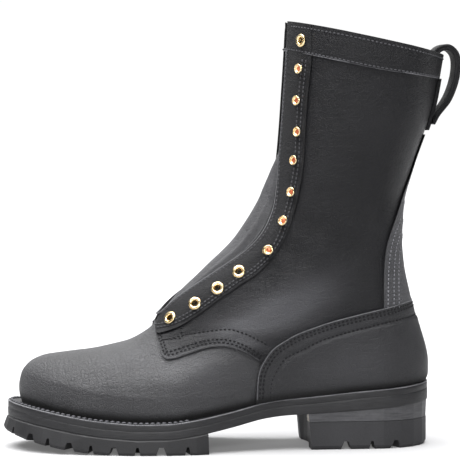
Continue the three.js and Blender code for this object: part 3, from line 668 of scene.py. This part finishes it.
def sum_of(*parts):
    total = 0.0
    for value, weight in parts:
        total = shading(value, "Math", 0, {0: value, 1: weight, 2: total}, operation="MULTIPLY_ADD")
    return total


def finish(shader, colour, rough, height, depth, gloss=0.5):
    """Links a shader's colour, roughness and bump, and sets its gloss."""
    normal = shading(height, "Bump", "Normal", {"Height": height, "Strength": 1.0, "Distance": depth})
    fill(shader, {"Base Color": colour, "Roughness": rough, "Normal": normal, "Specular IOR Level": gloss})


def leather(name, dark, light, rough_range, grain, gloss):
    """Waxed leather, darkened by painted shade in the corner at the welt and made paler in patches by painted
    highlight.
    """
    material, shader, place = blank(name)
    cloud = noise(place, 16, 4)
    drag = noise(place, 60, 3, 0.6, (1, 1, 0.25))
    fine = noise(place, 900, 4, 0.6)
    lay = noise(place, 150, 4, 0.6, (1, 0.55, 1.3))
    welt_shade = shading(place, "Attribute", "Fac", {}, attribute_name="welt_painted_shade")
    highlight_amount = shading(place, "Attribute", "Fac", {}, attribute_name="painted_highlight")
    tone = sum_of((cloud, 0.62), (drag, 0.25), (fine, 0.13))
    # Painted highlight: a paler grey mixed in over the highlight patches.
    colour = mixed(highlight_amount, ramp(tone, dark, light, (0.36, 0.64)), (0.052, 0.052, 0.057, 1))
    # Painted shade: near black mixed in just above the welt, where the upper's shadow falls, with rougher
    # leather there.
    colour = mixed(spread(welt_shade, 0, 1, 0.05, 0.8), colour, (0.0015, 0.0015, 0.002, 1))
    rough = sum_of((cloud, 0.5), (fine, 0.25), (drag, 0.25))
    rough = sum_of((spread(rough, *rough_range, 0.38, 0.62), 1.0), (welt_shade, 0.45))
    height = sum_of((fine, 0.3 * grain), (cells(place, 1150, 0.12), 0.25 * grain),
                    (cells(place, 330, 0.1), 0.3 * grain), (lay, 1.1 * grain), (cloud, 3.0))
    finish(shader, colour, rough, height, 0.0006, gloss)
    return material


def edge_leather(name, dark, light):
    """Cut and dressed edges: faint layers along the edge and rubbed lighter spots."""
    material, shader, place = blank(name)
    layers = noise(place, 90, 4, 0.6, (1, 1, 9))
    fine = noise(place, 700, 4, 0.65)
    tone = sum_of((layers, 0.5), (fine, 0.25), (noise(place, 30, 3), 0.25))
    height = sum_of((layers, 1.0), (fine, 0.5))
    finish(shader, ramp(tone, dark, light, (0.4, 0.66)), spread(fine, 0.42, 0.62), height, 0.00025, 0.4)
    return material


def rubber(name, dark, light):
    material, shader, place = blank(name)
    fine = noise(place, 1100, 3, 0.6)
    cloud = noise(place, 40, 4)
    colour = ramp(sum_of((cloud, 0.6), (fine, 0.4)), dark, light, (0.35, 0.68))
    height = sum_of((fine, 0.7), (cloud, 1.0))
    finish(shader, colour, spread(cloud, 0.5, 0.68), height, 0.00015, 0.4)
    return material


def brass(name, dark, light, metallic):
    material, shader, place = blank(name)
    cloud = noise(place, 200, 3)
    finish(shader, ramp(cloud, dark, light), spread(cloud, 0.2, 0.32), noise(place, 1500, 2), 0.00003)
    fill(shader, {"Metallic": metallic})
    return material


def thread(name, dark, light):
    material, shader, place = blank(name)
    twist = noise(place, 1800, 3, 0.6)
    finish(shader, ramp(twist, dark, light), spread(twist, 0.6, 0.8), twist, 0.0001, 0.2)
    return material


shaft_leather = leather("shaft_leather", (0.003, 0.004), (0.009, 0.0105), (0.36, 0.48), 0.9, 0.24)
# The vamp's copy of the black leather is lighter: its paler tone is a painted highlight from the light above.
lit_vamp_leather = leather("lit_vamp_leather", (0.010, 0.0115), (0.028, 0.031), (0.42, 0.54), 1.1, 0.52)
counter_leather = leather("counter_leather", (0.006, 0.0075), (0.016, 0.0185), (0.38, 0.5), 0.9, 0.4)
facing_leather = leather("facing_leather", (0.005, 0.006), (0.012, 0.0135), (0.58, 0.74), 1.2, 0.25)
tongue_leather = leather("tongue_leather", (0.022, 0.025), (0.050, 0.055), (0.38, 0.50), 1.0, 0.55)
backstay_leather = leather("backstay_leather", (0.024, 0.027), (0.058, 0.064), (0.42, 0.56), 1.6, 0.5)
# The two pale edge leathers are partly the lighter cut edge and partly a painted highlight where the edges
# catch the light from above.
cut_edge_highlight = edge_leather("cut_edge_highlight", (0.06, 0.066), (0.17, 0.18))
dim_cut_edge_highlight = edge_leather("dim_cut_edge_highlight", (0.02, 0.022), (0.06, 0.065))
welt_leather = edge_leather("welt_leather", (0.007, 0.008), (0.018, 0.02))
midsole_leather = edge_leather("midsole_leather", (0.008, 0.009), (0.019, 0.021))
stack_leather = edge_leather("stack_leather", (0.034, 0.037), (0.075, 0.08))
insole_leather = edge_leather("insole_leather", (0.30, 0.20, 0.12), (0.45, 0.32, 0.2))
tread_rubber = rubber("tread_rubber", (0.006, 0.007), (0.015, 0.0165))
lift_rubber = rubber("lift_rubber", (0.014, 0.0155), (0.029, 0.032))
brass_metal = brass("brass_metal", (0.86, 0.64, 0.32), (0.98, 0.82, 0.52), 1.0)
red_lacquer = brass("red_lacquer", (0.42, 0.09, 0.035), (0.66, 0.20, 0.09), 0.4)
grey_thread = thread("grey_thread", (0.09, 0.10), (0.22, 0.235))
welt_thread = thread("welt_thread", (0.03, 0.033), (0.10, 0.11))
worn_thread = thread("worn_thread", (0.03, 0.033), (0.085, 0.092))
black_thread = thread("black_thread", (0.004, 0.005), (0.012, 0.013))


def own_points(rows, fact):
    """A mesh's points or face centres, in the last's frame."""
    values = np.empty(len(rows) * 3)
    rows.foreach_get(fact, values)
    return values.reshape(-1, 3) * 1000 - shift


def store(thing, name, values):
    made = thing.data.attributes.new(name, "FLOAT", "POINT")
    made.data.foreach_set("value", values.astype(np.float32))


def mark_leather(thing):
    """Stores for each point the painted shade just above the welt and the painted highlight patches."""
    points = own_points(thing.data.vertices, "co")
    rise = np.clip(points[:, 2] - seat_height(points[:, 1]), 0, None)
    # Painted shade: strongest at the welt, fading within about 5 mm above it.
    store(thing, "welt_painted_shade", np.exp(-(rise / 5.0) ** 2))
    # Painted highlight: soft pale patches, one for each row of the highlight table.
    highlight_amount = 0
    for y, z, turn, long, wide, much in painted_highlight_table:
        dy, dz = y - points[:, 1], z - points[:, 2]
        along = dy * math.cos(turn) + dz * math.sin(turn)
        across = dz * math.cos(turn) - dy * math.sin(turn)
        highlight_amount = highlight_amount + much * np.exp(-(along / long) ** 2 - (across / wide) ** 2)
    store(thing, "painted_highlight", highlight_amount)


# Upper and its overlays
def make_upper():
    quarters = minus(both(form(quarter_face, relief=quarter_relief), quarter_region(0)), vamp_gap())
    body = plus(form(0, relief=tuck), quarters)
    body = trimmed(minus(minus(body, form(-vamp_wall, 104, 80)), throat_cutter()))
    for side in (1, -1):
        body = minus(body, barrel_holes(side))
    dressed(body, "upper_leather_shell", shaft_leather, "upper")
    # The vamp takes the lighter copy of the leather, a painted highlight.
    body.data.materials.append(lit_vamp_leather)
    middles = own_points(body.data.polygons, "center")
    edge = panel_line(quarter_edge, 96)
    _, side = line_distance(middles, edge)
    above_edge = middles[:, 2] > edge[-1][1]
    in_front = np.where(above_edge, middles[:, 1] < edge[-1][0], side > 0)
    on_vamp = in_front & (middles[:, 1] < edge[0][0] + 10)
    body.data.polygons.foreach_set("material_index", on_vamp.astype(np.int32))
    mark_leather(body)


def at(place, x, y, z):
    return tuple(place @ Vector((x, y, z)))


def cylinder(radius, low, high, segments, place):
    rows = [at(place, radius * c, radius * s, z) for z in (low, high) for c, s in circle(segments)]
    return mesh_from(rows, tube_faces(2, segments), "cylinder")


def joined(things, name):
    mesh = bpy.data.meshes.new(name)
    work = bmesh.new()
    for thing in things:
        work.from_mesh(thing.data)
        discard(thing)
    work.to_mesh(mesh)
    work.free()
    return in_scene(name, mesh)


def spots(side, kind, offset):
    """Number and frame of each eyelet or hook on one side."""
    return [("%02d" % (i + 1), spot_frame(y, rise, side, offset))
            for i, (y, rise, is_hook) in enumerate(hardware_table) if is_hook == (kind == "hook")]


def barrel_holes(side):
    return joined([cylinder(eyelet_barrel + gap, -8, 8, 24, place)
                   for _, place in spots(side, "eyelet", 0)], "holes")


def panel(inner, outer, region, relief=None):
    """The part of a shell between two offsets that lies in a region."""
    return both(minus(form(outer, relief=relief), form(inner)), region)


def make_counter():
    body = trimmed(panel(overlay_inner, counter_face, counter_region(0), counter_relief))
    mark_leather(dressed(body, "counter_cover", counter_leather, "counter"))


def make_facing(side, word):
    rear = panel_line(facing_rear_edge, 72)
    (_, low), (back, high) = rear[0], rear[-1]
    region = side_prism([*rear, (back, high + 60), (far_front, high + 60), (far_front, low)])
    half = prism(rectangle(0, side * ball_width, -50, 550), "y", -250, 250)
    sheet = both(panel(overlay_inner, facing_face, region, facing_relief), half)
    sheet = both(sheet, quarter_region(-gap))
    sheet = minus(minus(sheet, throat_cutter()), vamp_gap())
    sheet = minus(trimmed(sheet), barrel_holes(side))
    dressed(sheet, "facing_strip_" + word, facing_leather, "facing_" + word)


def make_collar_band():
    edge = panel_line(collar_band_edge, 48)
    top_y, top_z = panel_line(facing_rear_edge, 72)[-1]
    region = side_prism([*edge, (far_back, far_top), (edge[0][0], far_top)])
    behind = side_prism(rectangle(top_y + gap, far_back, top_z - 60, far_top))
    body = both(panel(overlay_inner, band_face, region, facing_relief), behind)
    dressed(trimmed(body), "collar_band_cover", shaft_leather, "collar_band")


def make_backstay():
    edge = panel_line(backstay_edge, 48)
    top = float(risen(far_back, backstay_top))
    region = side_prism([edge[0], (far_back, edge[0][1]), (far_back, top), *edge[1:][::-1]])
    sheet = trimmed(panel(overlay_inner, band_face, region))
    dressed(minus(sheet, counter_region(gap)), "backstay_strip", backstay_leather, "backstay")


def make_tongue():
    """A bent sheet behind the throat, with a soft fold down each side."""
    rows, columns, half_turn, low_v, high_v = 150, 90, 0.13, 0.545, 0.965
    v = np.linspace(low_v, high_v, rows + 1)[:, None]
    turn = np.linspace(-half_turn, half_turn, columns + 1)[None, :]
    base = last_points(turn, v)
    half, middle = throat_at((base[..., 2] - throat_base) / upper_rise)
    across = np.clip(np.abs(base[..., 0] - middle) / np.clip(half - 3.5, 0.1, None), 0, 1)
    shape = np.cos(across * np.pi / 2) ** 2
    for place, wide, high in fold_table:
        shape = shape + high * np.exp(-((across - place) / wide) ** 2)
    swell = table_value(tongue_table, 1, v) * shape
    out = last_normals(turn, v)
    rise = (swell - vamp_wall - 1)[..., None]
    inner = (base + out * (rise - tongue_thickness))[:, ::-1]
    rings = np.concatenate([base + out * rise, inner], axis=1)
    n = rings.shape[1]
    top = rows * n
    faces = band_faces(rows + 1, n)
    for i in range(columns):
        corners = (i, n - 1 - i, n - 2 - i, i + 1)
        faces += [corners, tuple(top + k for k in corners[::-1])]
    sheet = mesh_from(rings.reshape(-1, 3), faces, "tongue")
    dressed(sheet, "tongue_sheet", tongue_leather, "tongue", angle=50)


# Sole layers
def outline_loop(grow, n=240):
    turn = np.arange(n) / n
    share = (1 - np.cos(2 * np.pi * turn)) / 2
    y = sole_toe + share * sole_length
    side = np.where(turn <= 0.5, 1, -1)
    base = np.stack([centre_line(y) + side * sole_half_width(share), y], -1)
    ahead = np.roll(base, -1, 0) - np.roll(base, 1, 0)
    ahead = ahead / np.linalg.norm(ahead, axis=1, keepdims=True)
    return base + np.stack([ahead[:, 1], -ahead[:, 0]], -1) * grow


def welt_under(y):
    return seat_height(y) - welt_thickness


def midsole_under(y):
    return welt_under(y) - gap - midsole_thickness - heel_midsole_extra * smooth_step(y, 20, 120)


def make_layer(name, material, node, levels):
    """A layer of the sole, from rows of mm outward, a height and mm above that height."""
    rings = []
    for grow, height, lift in levels:
        loop = outline_loop(grow)
        rings.append(np.column_stack([loop, height(loop[:, 1]) + lift]))
    dressed(loft(rings, name), name, material, node, 50)


def make_welt():
    make_layer("welt_strip", welt_leather, "welt", [
        (-0.12, welt_under, -0.24), (0, welt_under, -0.04), (0, seat_height, -1.6),
        (-0.25, seat_height, -0.7), (-0.9, seat_height, -0.15), (-1.6, seat_height, 0)])


def make_midsole():
    make_layer("midsole_layer", midsole_leather, "midsole", [
        (-0.2, midsole_under, -0.24), (0.1, midsole_under, 0.16), (0.2, midsole_under, 1.06),
        (0.2, welt_under, -gap - 1.3), (0.05, welt_under, -gap - 0.3), (-0.1, welt_under, -gap)])


# Hardware
def lathe(profile, segments, place, name):
    """A solid turned round an axis, from a profile closed on itself."""
    rows = [at(place, r * c, r * s, z) for c, s in circle(segments) for r, z in profile]
    n = len(profile)
    faces = []
    for k in range(segments):
        other = (k + 1) % segments
        for i in range(n):
            j = (i + 1) % n
            faces.append((k * n + i, other * n + i, other * n + j, k * n + j))
    return mesh_from(rows, faces, name)


def eyelet_profile():
    low = -facing_face - vamp_wall - 0.4
    ring = [(eyelet_bore, low), (eyelet_barrel, low), (eyelet_barrel, 0.65), (eyelet_radius - 0.15, 0.65),
            (eyelet_radius, 0.85)]
    for k in range(9):
        a = math.pi * k / 8 * 0.5
        ring.append((eyelet_radius - 0.1 - 1.1 * (1 - math.cos(a)), 0.9 + 0.8 * math.sin(a)))
    for k in range(1, 8):
        a = math.pi * k / 8 * 0.5
        ring.append((eyelet_radius - 1.3 - (eyelet_radius - 1.3 - eyelet_bore) * math.sin(a),
                     0.3 + 1.4 * math.cos(a)))
    ring.append((eyelet_bore, 0.0))
    return ring


def lip_place(place):
    return place @ Matrix.Translation((lip_shift, 0, 0))


def make_hook(place):
    """A riveted base, a neck on the throat side and a dished round lip bent back over it."""
    base = lathe([(0.01, 0.75), (3.0, 0.75), (3.15, 0.95), (2.8, 1.3), (0.01, 1.4)], 24, place, "base")
    profile = [(-2.6, 1.1), (-3.1, 1.7), (-2.9, 2.5), (-1.9, lip_top - 1.0), (-0.9, lip_top - 0.7)]
    strip = np.linspace(-1.8, 1.8, 5)
    rows = [at(place, x + deep + 0.05 * s * s, s, z) for x, z in profile
            for deep, across in ((0.0, strip), (0.9, strip[::-1])) for s in across]
    neck = mesh_from(rows, band_faces(len(profile), 2 * len(strip)), "neck")
    half = hook_width / 2
    ring = [(0.01, lip_top - 1.35), (1.5, lip_top - 1.3), (2.3, lip_top - 0.95), (2.6, lip_top - 0.45)]
    ring += [(3.1 - 0.5 * math.cos(a), lip_top - 0.35 + 0.45 * math.sin(a))
             for a in np.linspace(0.2, math.pi, 7)]
    ring += [(half, lip_top - 0.7), (half - 0.5, lip_top - 1.2), (2.2, lip_top - 1.7), (0.01, lip_top - 1.9)]
    return [base, neck, lathe(ring, 32, lip_place(place), "dish")]


def make_hook_centres():
    """Reddish lacquered rivet heads in the dished lips."""
    profile = [(0.01, lip_top - 1.4), (1.9, lip_top - 1.3), (1.75, lip_top - 1.0), (1.1, lip_top - 0.8),
               (0.01, lip_top - 0.7)]
    domes = [lathe(profile, 20, lip_place(place), "dome")
             for side in (1, -1) for _, place in spots(side, "hook", facing_face)]
    dressed(joined(domes, "centres"), "hook_centres", red_lacquer, None, 50)


def make_hardware():
    for side, word in ((1, "lateral"), (-1, "medial")):
        for i, (y, rise, is_hook) in enumerate(hardware_table):
            place = spot_frame(y, rise, side, facing_face)
            kind = "hook" if is_hook else "eyelet"
            number = "_%s_%02d" % (word, i + 1)
            thing = joined(make_hook(place), kind) if is_hook else lathe(eyelet_profile(), 40, place, kind)
            dressed(thing, kind + "_detail" + number, brass_metal, kind + number, 40)


# Pull loop
def make_pull_loop():
    middle = spline_line(np.asarray(loop_table) + collar_point(1), 70)
    left = moved_line(middle, 1) - middle
    quarter = [(1.0, 0.14), (1.0, 0.75), (0.97, 0.93), (0.9, 1.0)]
    right_half = [(a, -b) for a, b in quarter[::-1]] + [(0.965, 0.0)] + quarter
    section = right_half + [(-a, -b) for a, b in right_half]
    rows = []
    count = len(middle)
    for k in range(count):
        place = k / (count - 1)
        taper = 0.4 + 0.6 * min(1.0, max(0.0, (1 - place) / 0.2)) if place > 0.1 else 0.52
        for across, through in section:
            y, z = middle[k] + left[k] * through * loop_thickness / 2 * taper
            rows.append((across * loop_width / 2, y, z))
    thing = mesh_from(rows, tube_faces(count, len(section)), "loop")
    work = bmesh.new()
    work.from_mesh(thing.data)
    bmesh.ops.recalc_face_normals(work, faces=work.faces)
    work.to_mesh(thing.data)
    work.free()
    dressed(thing, "pull_loop_strap", facing_leather, "pull_loop", 50)


def make_loop_leg():
    """The strap's other leg, lying on the shaft below the collar band."""
    middle = spline_line(np.asarray(loop_table) + collar_point(1), 70)
    half = loop_thickness / 2 + gap
    loop = prism([*moved_line(middle, half), *moved_line(middle, -half)[::-1]], "x", -20, 20)
    top = float(collar_band_line[-1][1]) - gap
    low = float(risen(far_back, backstay_top)) + gap
    region = side_prism(rectangle(middle[-1][0] - 22, far_back, low, top))
    sheet = panel(overlay_inner, quarter_face + 3.0, region)
    sheet = both(sheet, prism(rectangle(-8.5, 8.5, low - 9, top + 9), "y", 100, 260))
    dressed(minus(sheet, loop), "loop_leg", facing_leather, None, 40)


# Stitches and edge lips
tube_sides = 6
stitch_rings = ((-1.0, 0.35), (-0.72, 0.9), (0.0, 1.0), (0.72, 0.9), (1.0, 0.35))
stitch_lift, stitch_bow = 0.05, 0.25


def gathered(parts):
    """One list of points and one of faces, from several of each."""
    rows, faces = [], []
    for points, links in parts:
        start = len(rows)
        rows.extend(points)
        faces += [tuple(start + i for i in link) for link in links]
    return rows, faces


def stitch_row(points, normals, pitch, length, radius):
    """Short rounded thread bumps along a line on the surface."""
    run = np.concatenate([[0], np.cumsum(np.linalg.norm(np.diff(points, axis=0), axis=1))])
    spots = (np.arange(int(run[-1] / pitch)) + 0.5) * pitch
    middles, nexts, outs = [np.stack([np.interp(where, run, values[:, k]) for k in range(3)], -1)
                            for where, values in ((spots, points), (spots + 0.4, points), (spots, normals))]
    parts = []
    for p, a, o in zip(middles, nexts - middles, outs):
        o = o / np.linalg.norm(o)
        a = a - o * a.dot(o)
        a = a / np.linalg.norm(a)
        b = np.cross(o, a)
        rows = [p + a * s * length / 2 + b * radius * grow * c
                + o * (radius * (grow * lift - stitch_bow * s * s) + stitch_lift)
                for s, grow in stitch_rings for c, lift in circle(tube_sides)]
        parts.append((rows, tube_faces(len(stitch_rings), tube_sides)))
    return parts


def stitches(name, lines, material, pitch, length, radius):
    parts = [part for line in lines for part in stitch_row(*line, pitch, length, radius)]
    dressed(mesh_from(*gathered(parts), name), name, material, angle=60)


def both_sides(surface, *moves):
    """Points and directions on both sides, from lines and the mm that each is moved."""
    return [side_rays(moved_line(line, move), side, *surface) for line, move in moves for side in (1, -1)]


def throat_edges(inset):
    """Points and directions along both edges of the throat, moved in from them."""
    rises = np.linspace(0.275, 1.02, 150)
    half, middle = throat_at(rises)
    height = throat_base + rises * upper_rise
    lines = []
    for side in (1, -1):
        reach = half + inset + side * middle
        turn = np.full_like(rises, 0.06)
        v = np.full_like(rises, 0.7)
        for _ in range(60):
            here = last_points(side * turn, v)
            drop = here[:, 2] - last_points(side * turn, v - 0.002)[:, 2]
            v = np.clip(v + (height - here[:, 2]) * 0.002 / np.maximum(drop, 0.05) * 0.6, 0.4, 1.0)
            wide = last_points(side * (turn + 0.002), v)
            slope = np.maximum(side * (wide[:, 0] - here[:, 0]) / 0.002, 40.0)
            turn = np.clip(turn + (reach - side * here[:, 0]) / slope * 0.6, 0.001, 0.25)
        lines.append((offset_points(side * turn, v, facing_face), last_normals(side * turn, v)))
    return lines


def cord(points, normals, radius, sink):
    """Thin rounded lip along a line, half sunk into what it edges."""
    ahead = np.gradient(points, axis=0)
    across = np.cross(normals, ahead)
    across /= np.linalg.norm(across, axis=1, keepdims=True)
    rows = [points + across * radius * c + normals * (radius * s - sink) for c, s in circle(tube_sides)]
    return np.stack(rows, 1).reshape(-1, 3), tube_faces(len(points), tube_sides)


def cords(name, lines, radius, sink, material):
    parts = [cord(*line, radius, sink) for line in lines]
    dressed(mesh_from(*gathered(parts), name), name, material, angle=70)


def tab_line():
    corners = side_line(np.array([*tab_corners, tab_corners[0]]))
    return np.concatenate([np.linspace(a, b, 14)[:-1] for a, b in zip(corners[:-1], corners[1:])])


facing_surface = (facing_face, facing_relief)
quarter_surface = (quarter_face, quarter_relief)
counter_surface = (counter_face, counter_relief)


def make_stitches():
    rows = throat_edges(2.6) + both_sides(facing_surface, (facing_rear_line, 1.5), (facing_rear_line, 3.7),
                                          (collar_line, 0), (collar_band_line, 1.2))
    stitches("facing_stitches", rows, worn_thread, 3.2, 2.2, 0.55)
    rows = both_sides(quarter_surface, (quarter_line, -2.2), (quarter_line, -4.4), (quarter_second_line, 0),
                      (tab_line(), 0))
    rows += both_sides(counter_surface, (counter_line, -2.2), (counter_line, -4.6), (counter_third_line, 0))
    stitches("seam_stitches", rows, black_thread, 3.2, 2.1, 0.65)
    rows = both_sides((band_face,), (backstay_line, -2.0), (backstay_line, -6.5), (backstay_line, -10.5))
    stitches("backstay_stitches", rows, grey_thread, 3.0, 1.9, 0.5)


def flat_line(grow, n, lift, closed=False):
    """Points and directions along the welt's edge."""
    loop = outline_loop(grow, n)
    if closed:
        loop = np.vstack([loop, loop[:1]])
    return np.column_stack([loop, seat_height(loop[:, 1]) + lift]), np.tile([0.0, 0.0, 1.0], (len(loop), 1))


def make_lips():
    # The pale lips are partly lighter cut edges and partly a painted highlight along edges that catch the
    # light from above.
    cords("quarter_lips", both_sides(quarter_surface, (quarter_line, -0.3)), 0.36, 0.26, dim_cut_edge_highlight)
    cords("counter_lips", both_sides(counter_surface, (counter_line, -0.35)), 0.42, 0.28, cut_edge_highlight)
    cords("throat_lips", throat_edges(0.3), 0.5, 0.25, cut_edge_highlight)
    cords("facing_lips", both_sides(facing_surface, (facing_rear_line, 0.3)), 0.34, 0.26, dim_cut_edge_highlight)
    cords("band_lips", both_sides(facing_surface, (collar_band_line, 0.25)), 0.45, 0.2, cut_edge_highlight)
    cords("backstay_shadow", both_sides((quarter_face + 0.2,), (backstay_line, 0.6)), 0.55, 0.3, black_thread)
    cords("welt_lip", [flat_line(-0.35, 700, -0.35, closed=True)], 0.5, 0.1, cut_edge_highlight)


def make_welt_stitches():
    """Stitches on the welt round the forefoot, as one run from side to side."""
    points, normals = flat_line(-2.6, 900, 0.45)
    points = np.roll(points, 450, axis=0)
    front = points[:, 1] < -22
    stitches("welt_stitches", [(points[front], normals[front])], welt_thread, 4.2, 3.3, 1.0)


def pale_front(material, dark, light):
    """Leaves the face toward the toe as bare pale leather, and the rest dressed."""
    shader = material.node_tree.nodes["Principled BSDF"]
    place = shader.id_data.nodes.new("ShaderNodeTexCoord")
    parts = shading(place.outputs["Normal"], "SeparateXYZ", "Y", {"Vector": place.outputs["Normal"]})
    bare = ramp(noise(place.outputs["Object"], 120, 4, 0.6, (1, 1, 6)), dark, light)
    dressed_colour = shader.inputs["Base Color"].links[0].from_socket
    fill(shader, {"Base Color": mixed(spread(parts, 1.0, 0.0, -0.4, -0.25), dressed_colour, bare)})


def keep_solid(node, material, width):
    """The part's own solid, with its material and rounded arrises."""
    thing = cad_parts[node]
    thing.data.materials.clear()
    thing.data.materials.append(material)
    rounding = thing.modifiers.new("rounding", "BEVEL")
    rounding.width = width / 1000
    rounding.segments = 2
    rounding.limit_method = "ANGLE"
    rounding.angle_limit = math.radians(40)
    rounding.harden_normals = True


make_upper()
make_counter()
make_facing(1, "lateral")
make_facing(-1, "medial")
make_collar_band()
make_backstay()
make_tongue()
make_welt()
make_midsole()
make_hardware()
make_hook_centres()
make_pull_loop()
make_loop_leg()
make_stitches()
make_welt_stitches()
make_lips()

pale_front(stack_leather, (0.30, 0.26, 0.21), (0.55, 0.50, 0.43))
keep_solid("outsole", tread_rubber, 0.5)
keep_solid("heel_lift", lift_rubber, 0.5)
keep_solid("heel_stack", stack_leather, 0.4)
keep_solid("insole", insole_leather, 0.3)


# Floor, light and camera
def round_backdrop(radius, around=96, rows=12):
    """A floor disc, and a wide dome round it that only closes the view."""
    rim = [(radius * c, radius * s) for c, s in circle(around)]
    points = [(0, 0, 0), *[(x, y, 0) for x, y in rim]]
    disc = metre_mesh(points, [(0, k + 1, (k + 1) % around + 1) for k in range(around)], "studio_floor")
    lifts = [math.pi / 2 * r / rows * 0.98 for r in range(rows + 1)]
    points = [(x * math.cos(lift), y * math.cos(lift), radius * math.sin(lift) - 0.02)
              for lift in lifts for x, y in rim]
    dome = metre_mesh(points, [f[::-1] for f in band_faces(rows + 1, around)], "studio_wall")
    return disc, dome


def make_floor_paper():
    """Pale paper with a slight even glow."""
    material, shader, place = blank("floor_paper")
    fill(shader, {"Base Color": ramp(noise(place, 3, 2), (0.345, 0.35), (0.355, 0.36)), "Roughness": 0.9,
                  "Specular IOR Level": 0.1, "Emission Color": (1, 1, 1, 1), "Emission Strength": 0.14})
    return material


def make_wall_paper():
    material, shader, place = blank("wall_paper")
    fill(shader, {"Base Color": (0, 0, 0, 1), "Roughness": 1.0, "Specular IOR Level": 0.0,
                  "Emission Color": ramp(noise(place, 0.3, 1), (1.0, 1.0), (1.02, 1.02)),
                  "Emission Strength": 1.02})
    return material


floor, wall = round_backdrop(9.0)
floor.data.materials.append(make_floor_paper())
wall.data.materials.append(make_wall_paper())
for rays in ("diffuse", "glossy", "shadow", "transmission"):
    setattr(wall, "visible_" + rays, False)

world = bpy.data.worlds.new("studio")
bpy.context.scene.world = world
world.use_nodes = True
fill(world.node_tree.nodes["Background"], {"Color": (0.98, 0.99, 1, 1), "Strength": 0.05})


def aimed(thing, place, target):
    thing.location = place
    thing.rotation_euler = (Vector(target) - Vector(place)).to_track_quat("-Z", "Y").to_euler()


def lamp(name, kind, place, target, power, **facts):
    data = bpy.data.lights.new(name, kind)
    data.energy = power
    for key, value in facts.items():
        setattr(data, key, value)
    thing = in_scene(name, data)
    thing.visible_camera = False
    aimed(thing, place, target)


lamp("overhead", "SUN", (0.1, -0.45, 3), (0, 0, 0), 10.2, angle=math.radians(72))
lamp("back_box", "AREA", (-2.4, -0.4, 1.3), (0, 0, 0.15), 26, shape="RECTANGLE", size=3.2, size_y=1.6)
lamp("front_box", "AREA", (2.05, -0.25, 0.9), (0, 0, 0.12), 20, shape="RECTANGLE", size=0.7, size_y=0.4)

azimuth, distance, height = math.radians(84), 1.9, 0.26
target = Vector((shift_x * 0.001, 0.011 + shift_y * 0.001, 0.1612))
camera_data = bpy.data.cameras.new("camera")
camera_data.sensor_width = 36
camera_data.lens = 2540 / 460 * 36
camera = in_scene("camera", camera_data)
away = Vector((math.sin(azimuth) * distance, -math.cos(azimuth) * distance, height - target.z))
aimed(camera, target + away, target)
bpy.context.scene.camera = camera
bpy.context.scene.view_settings.view_transform = "Standard"
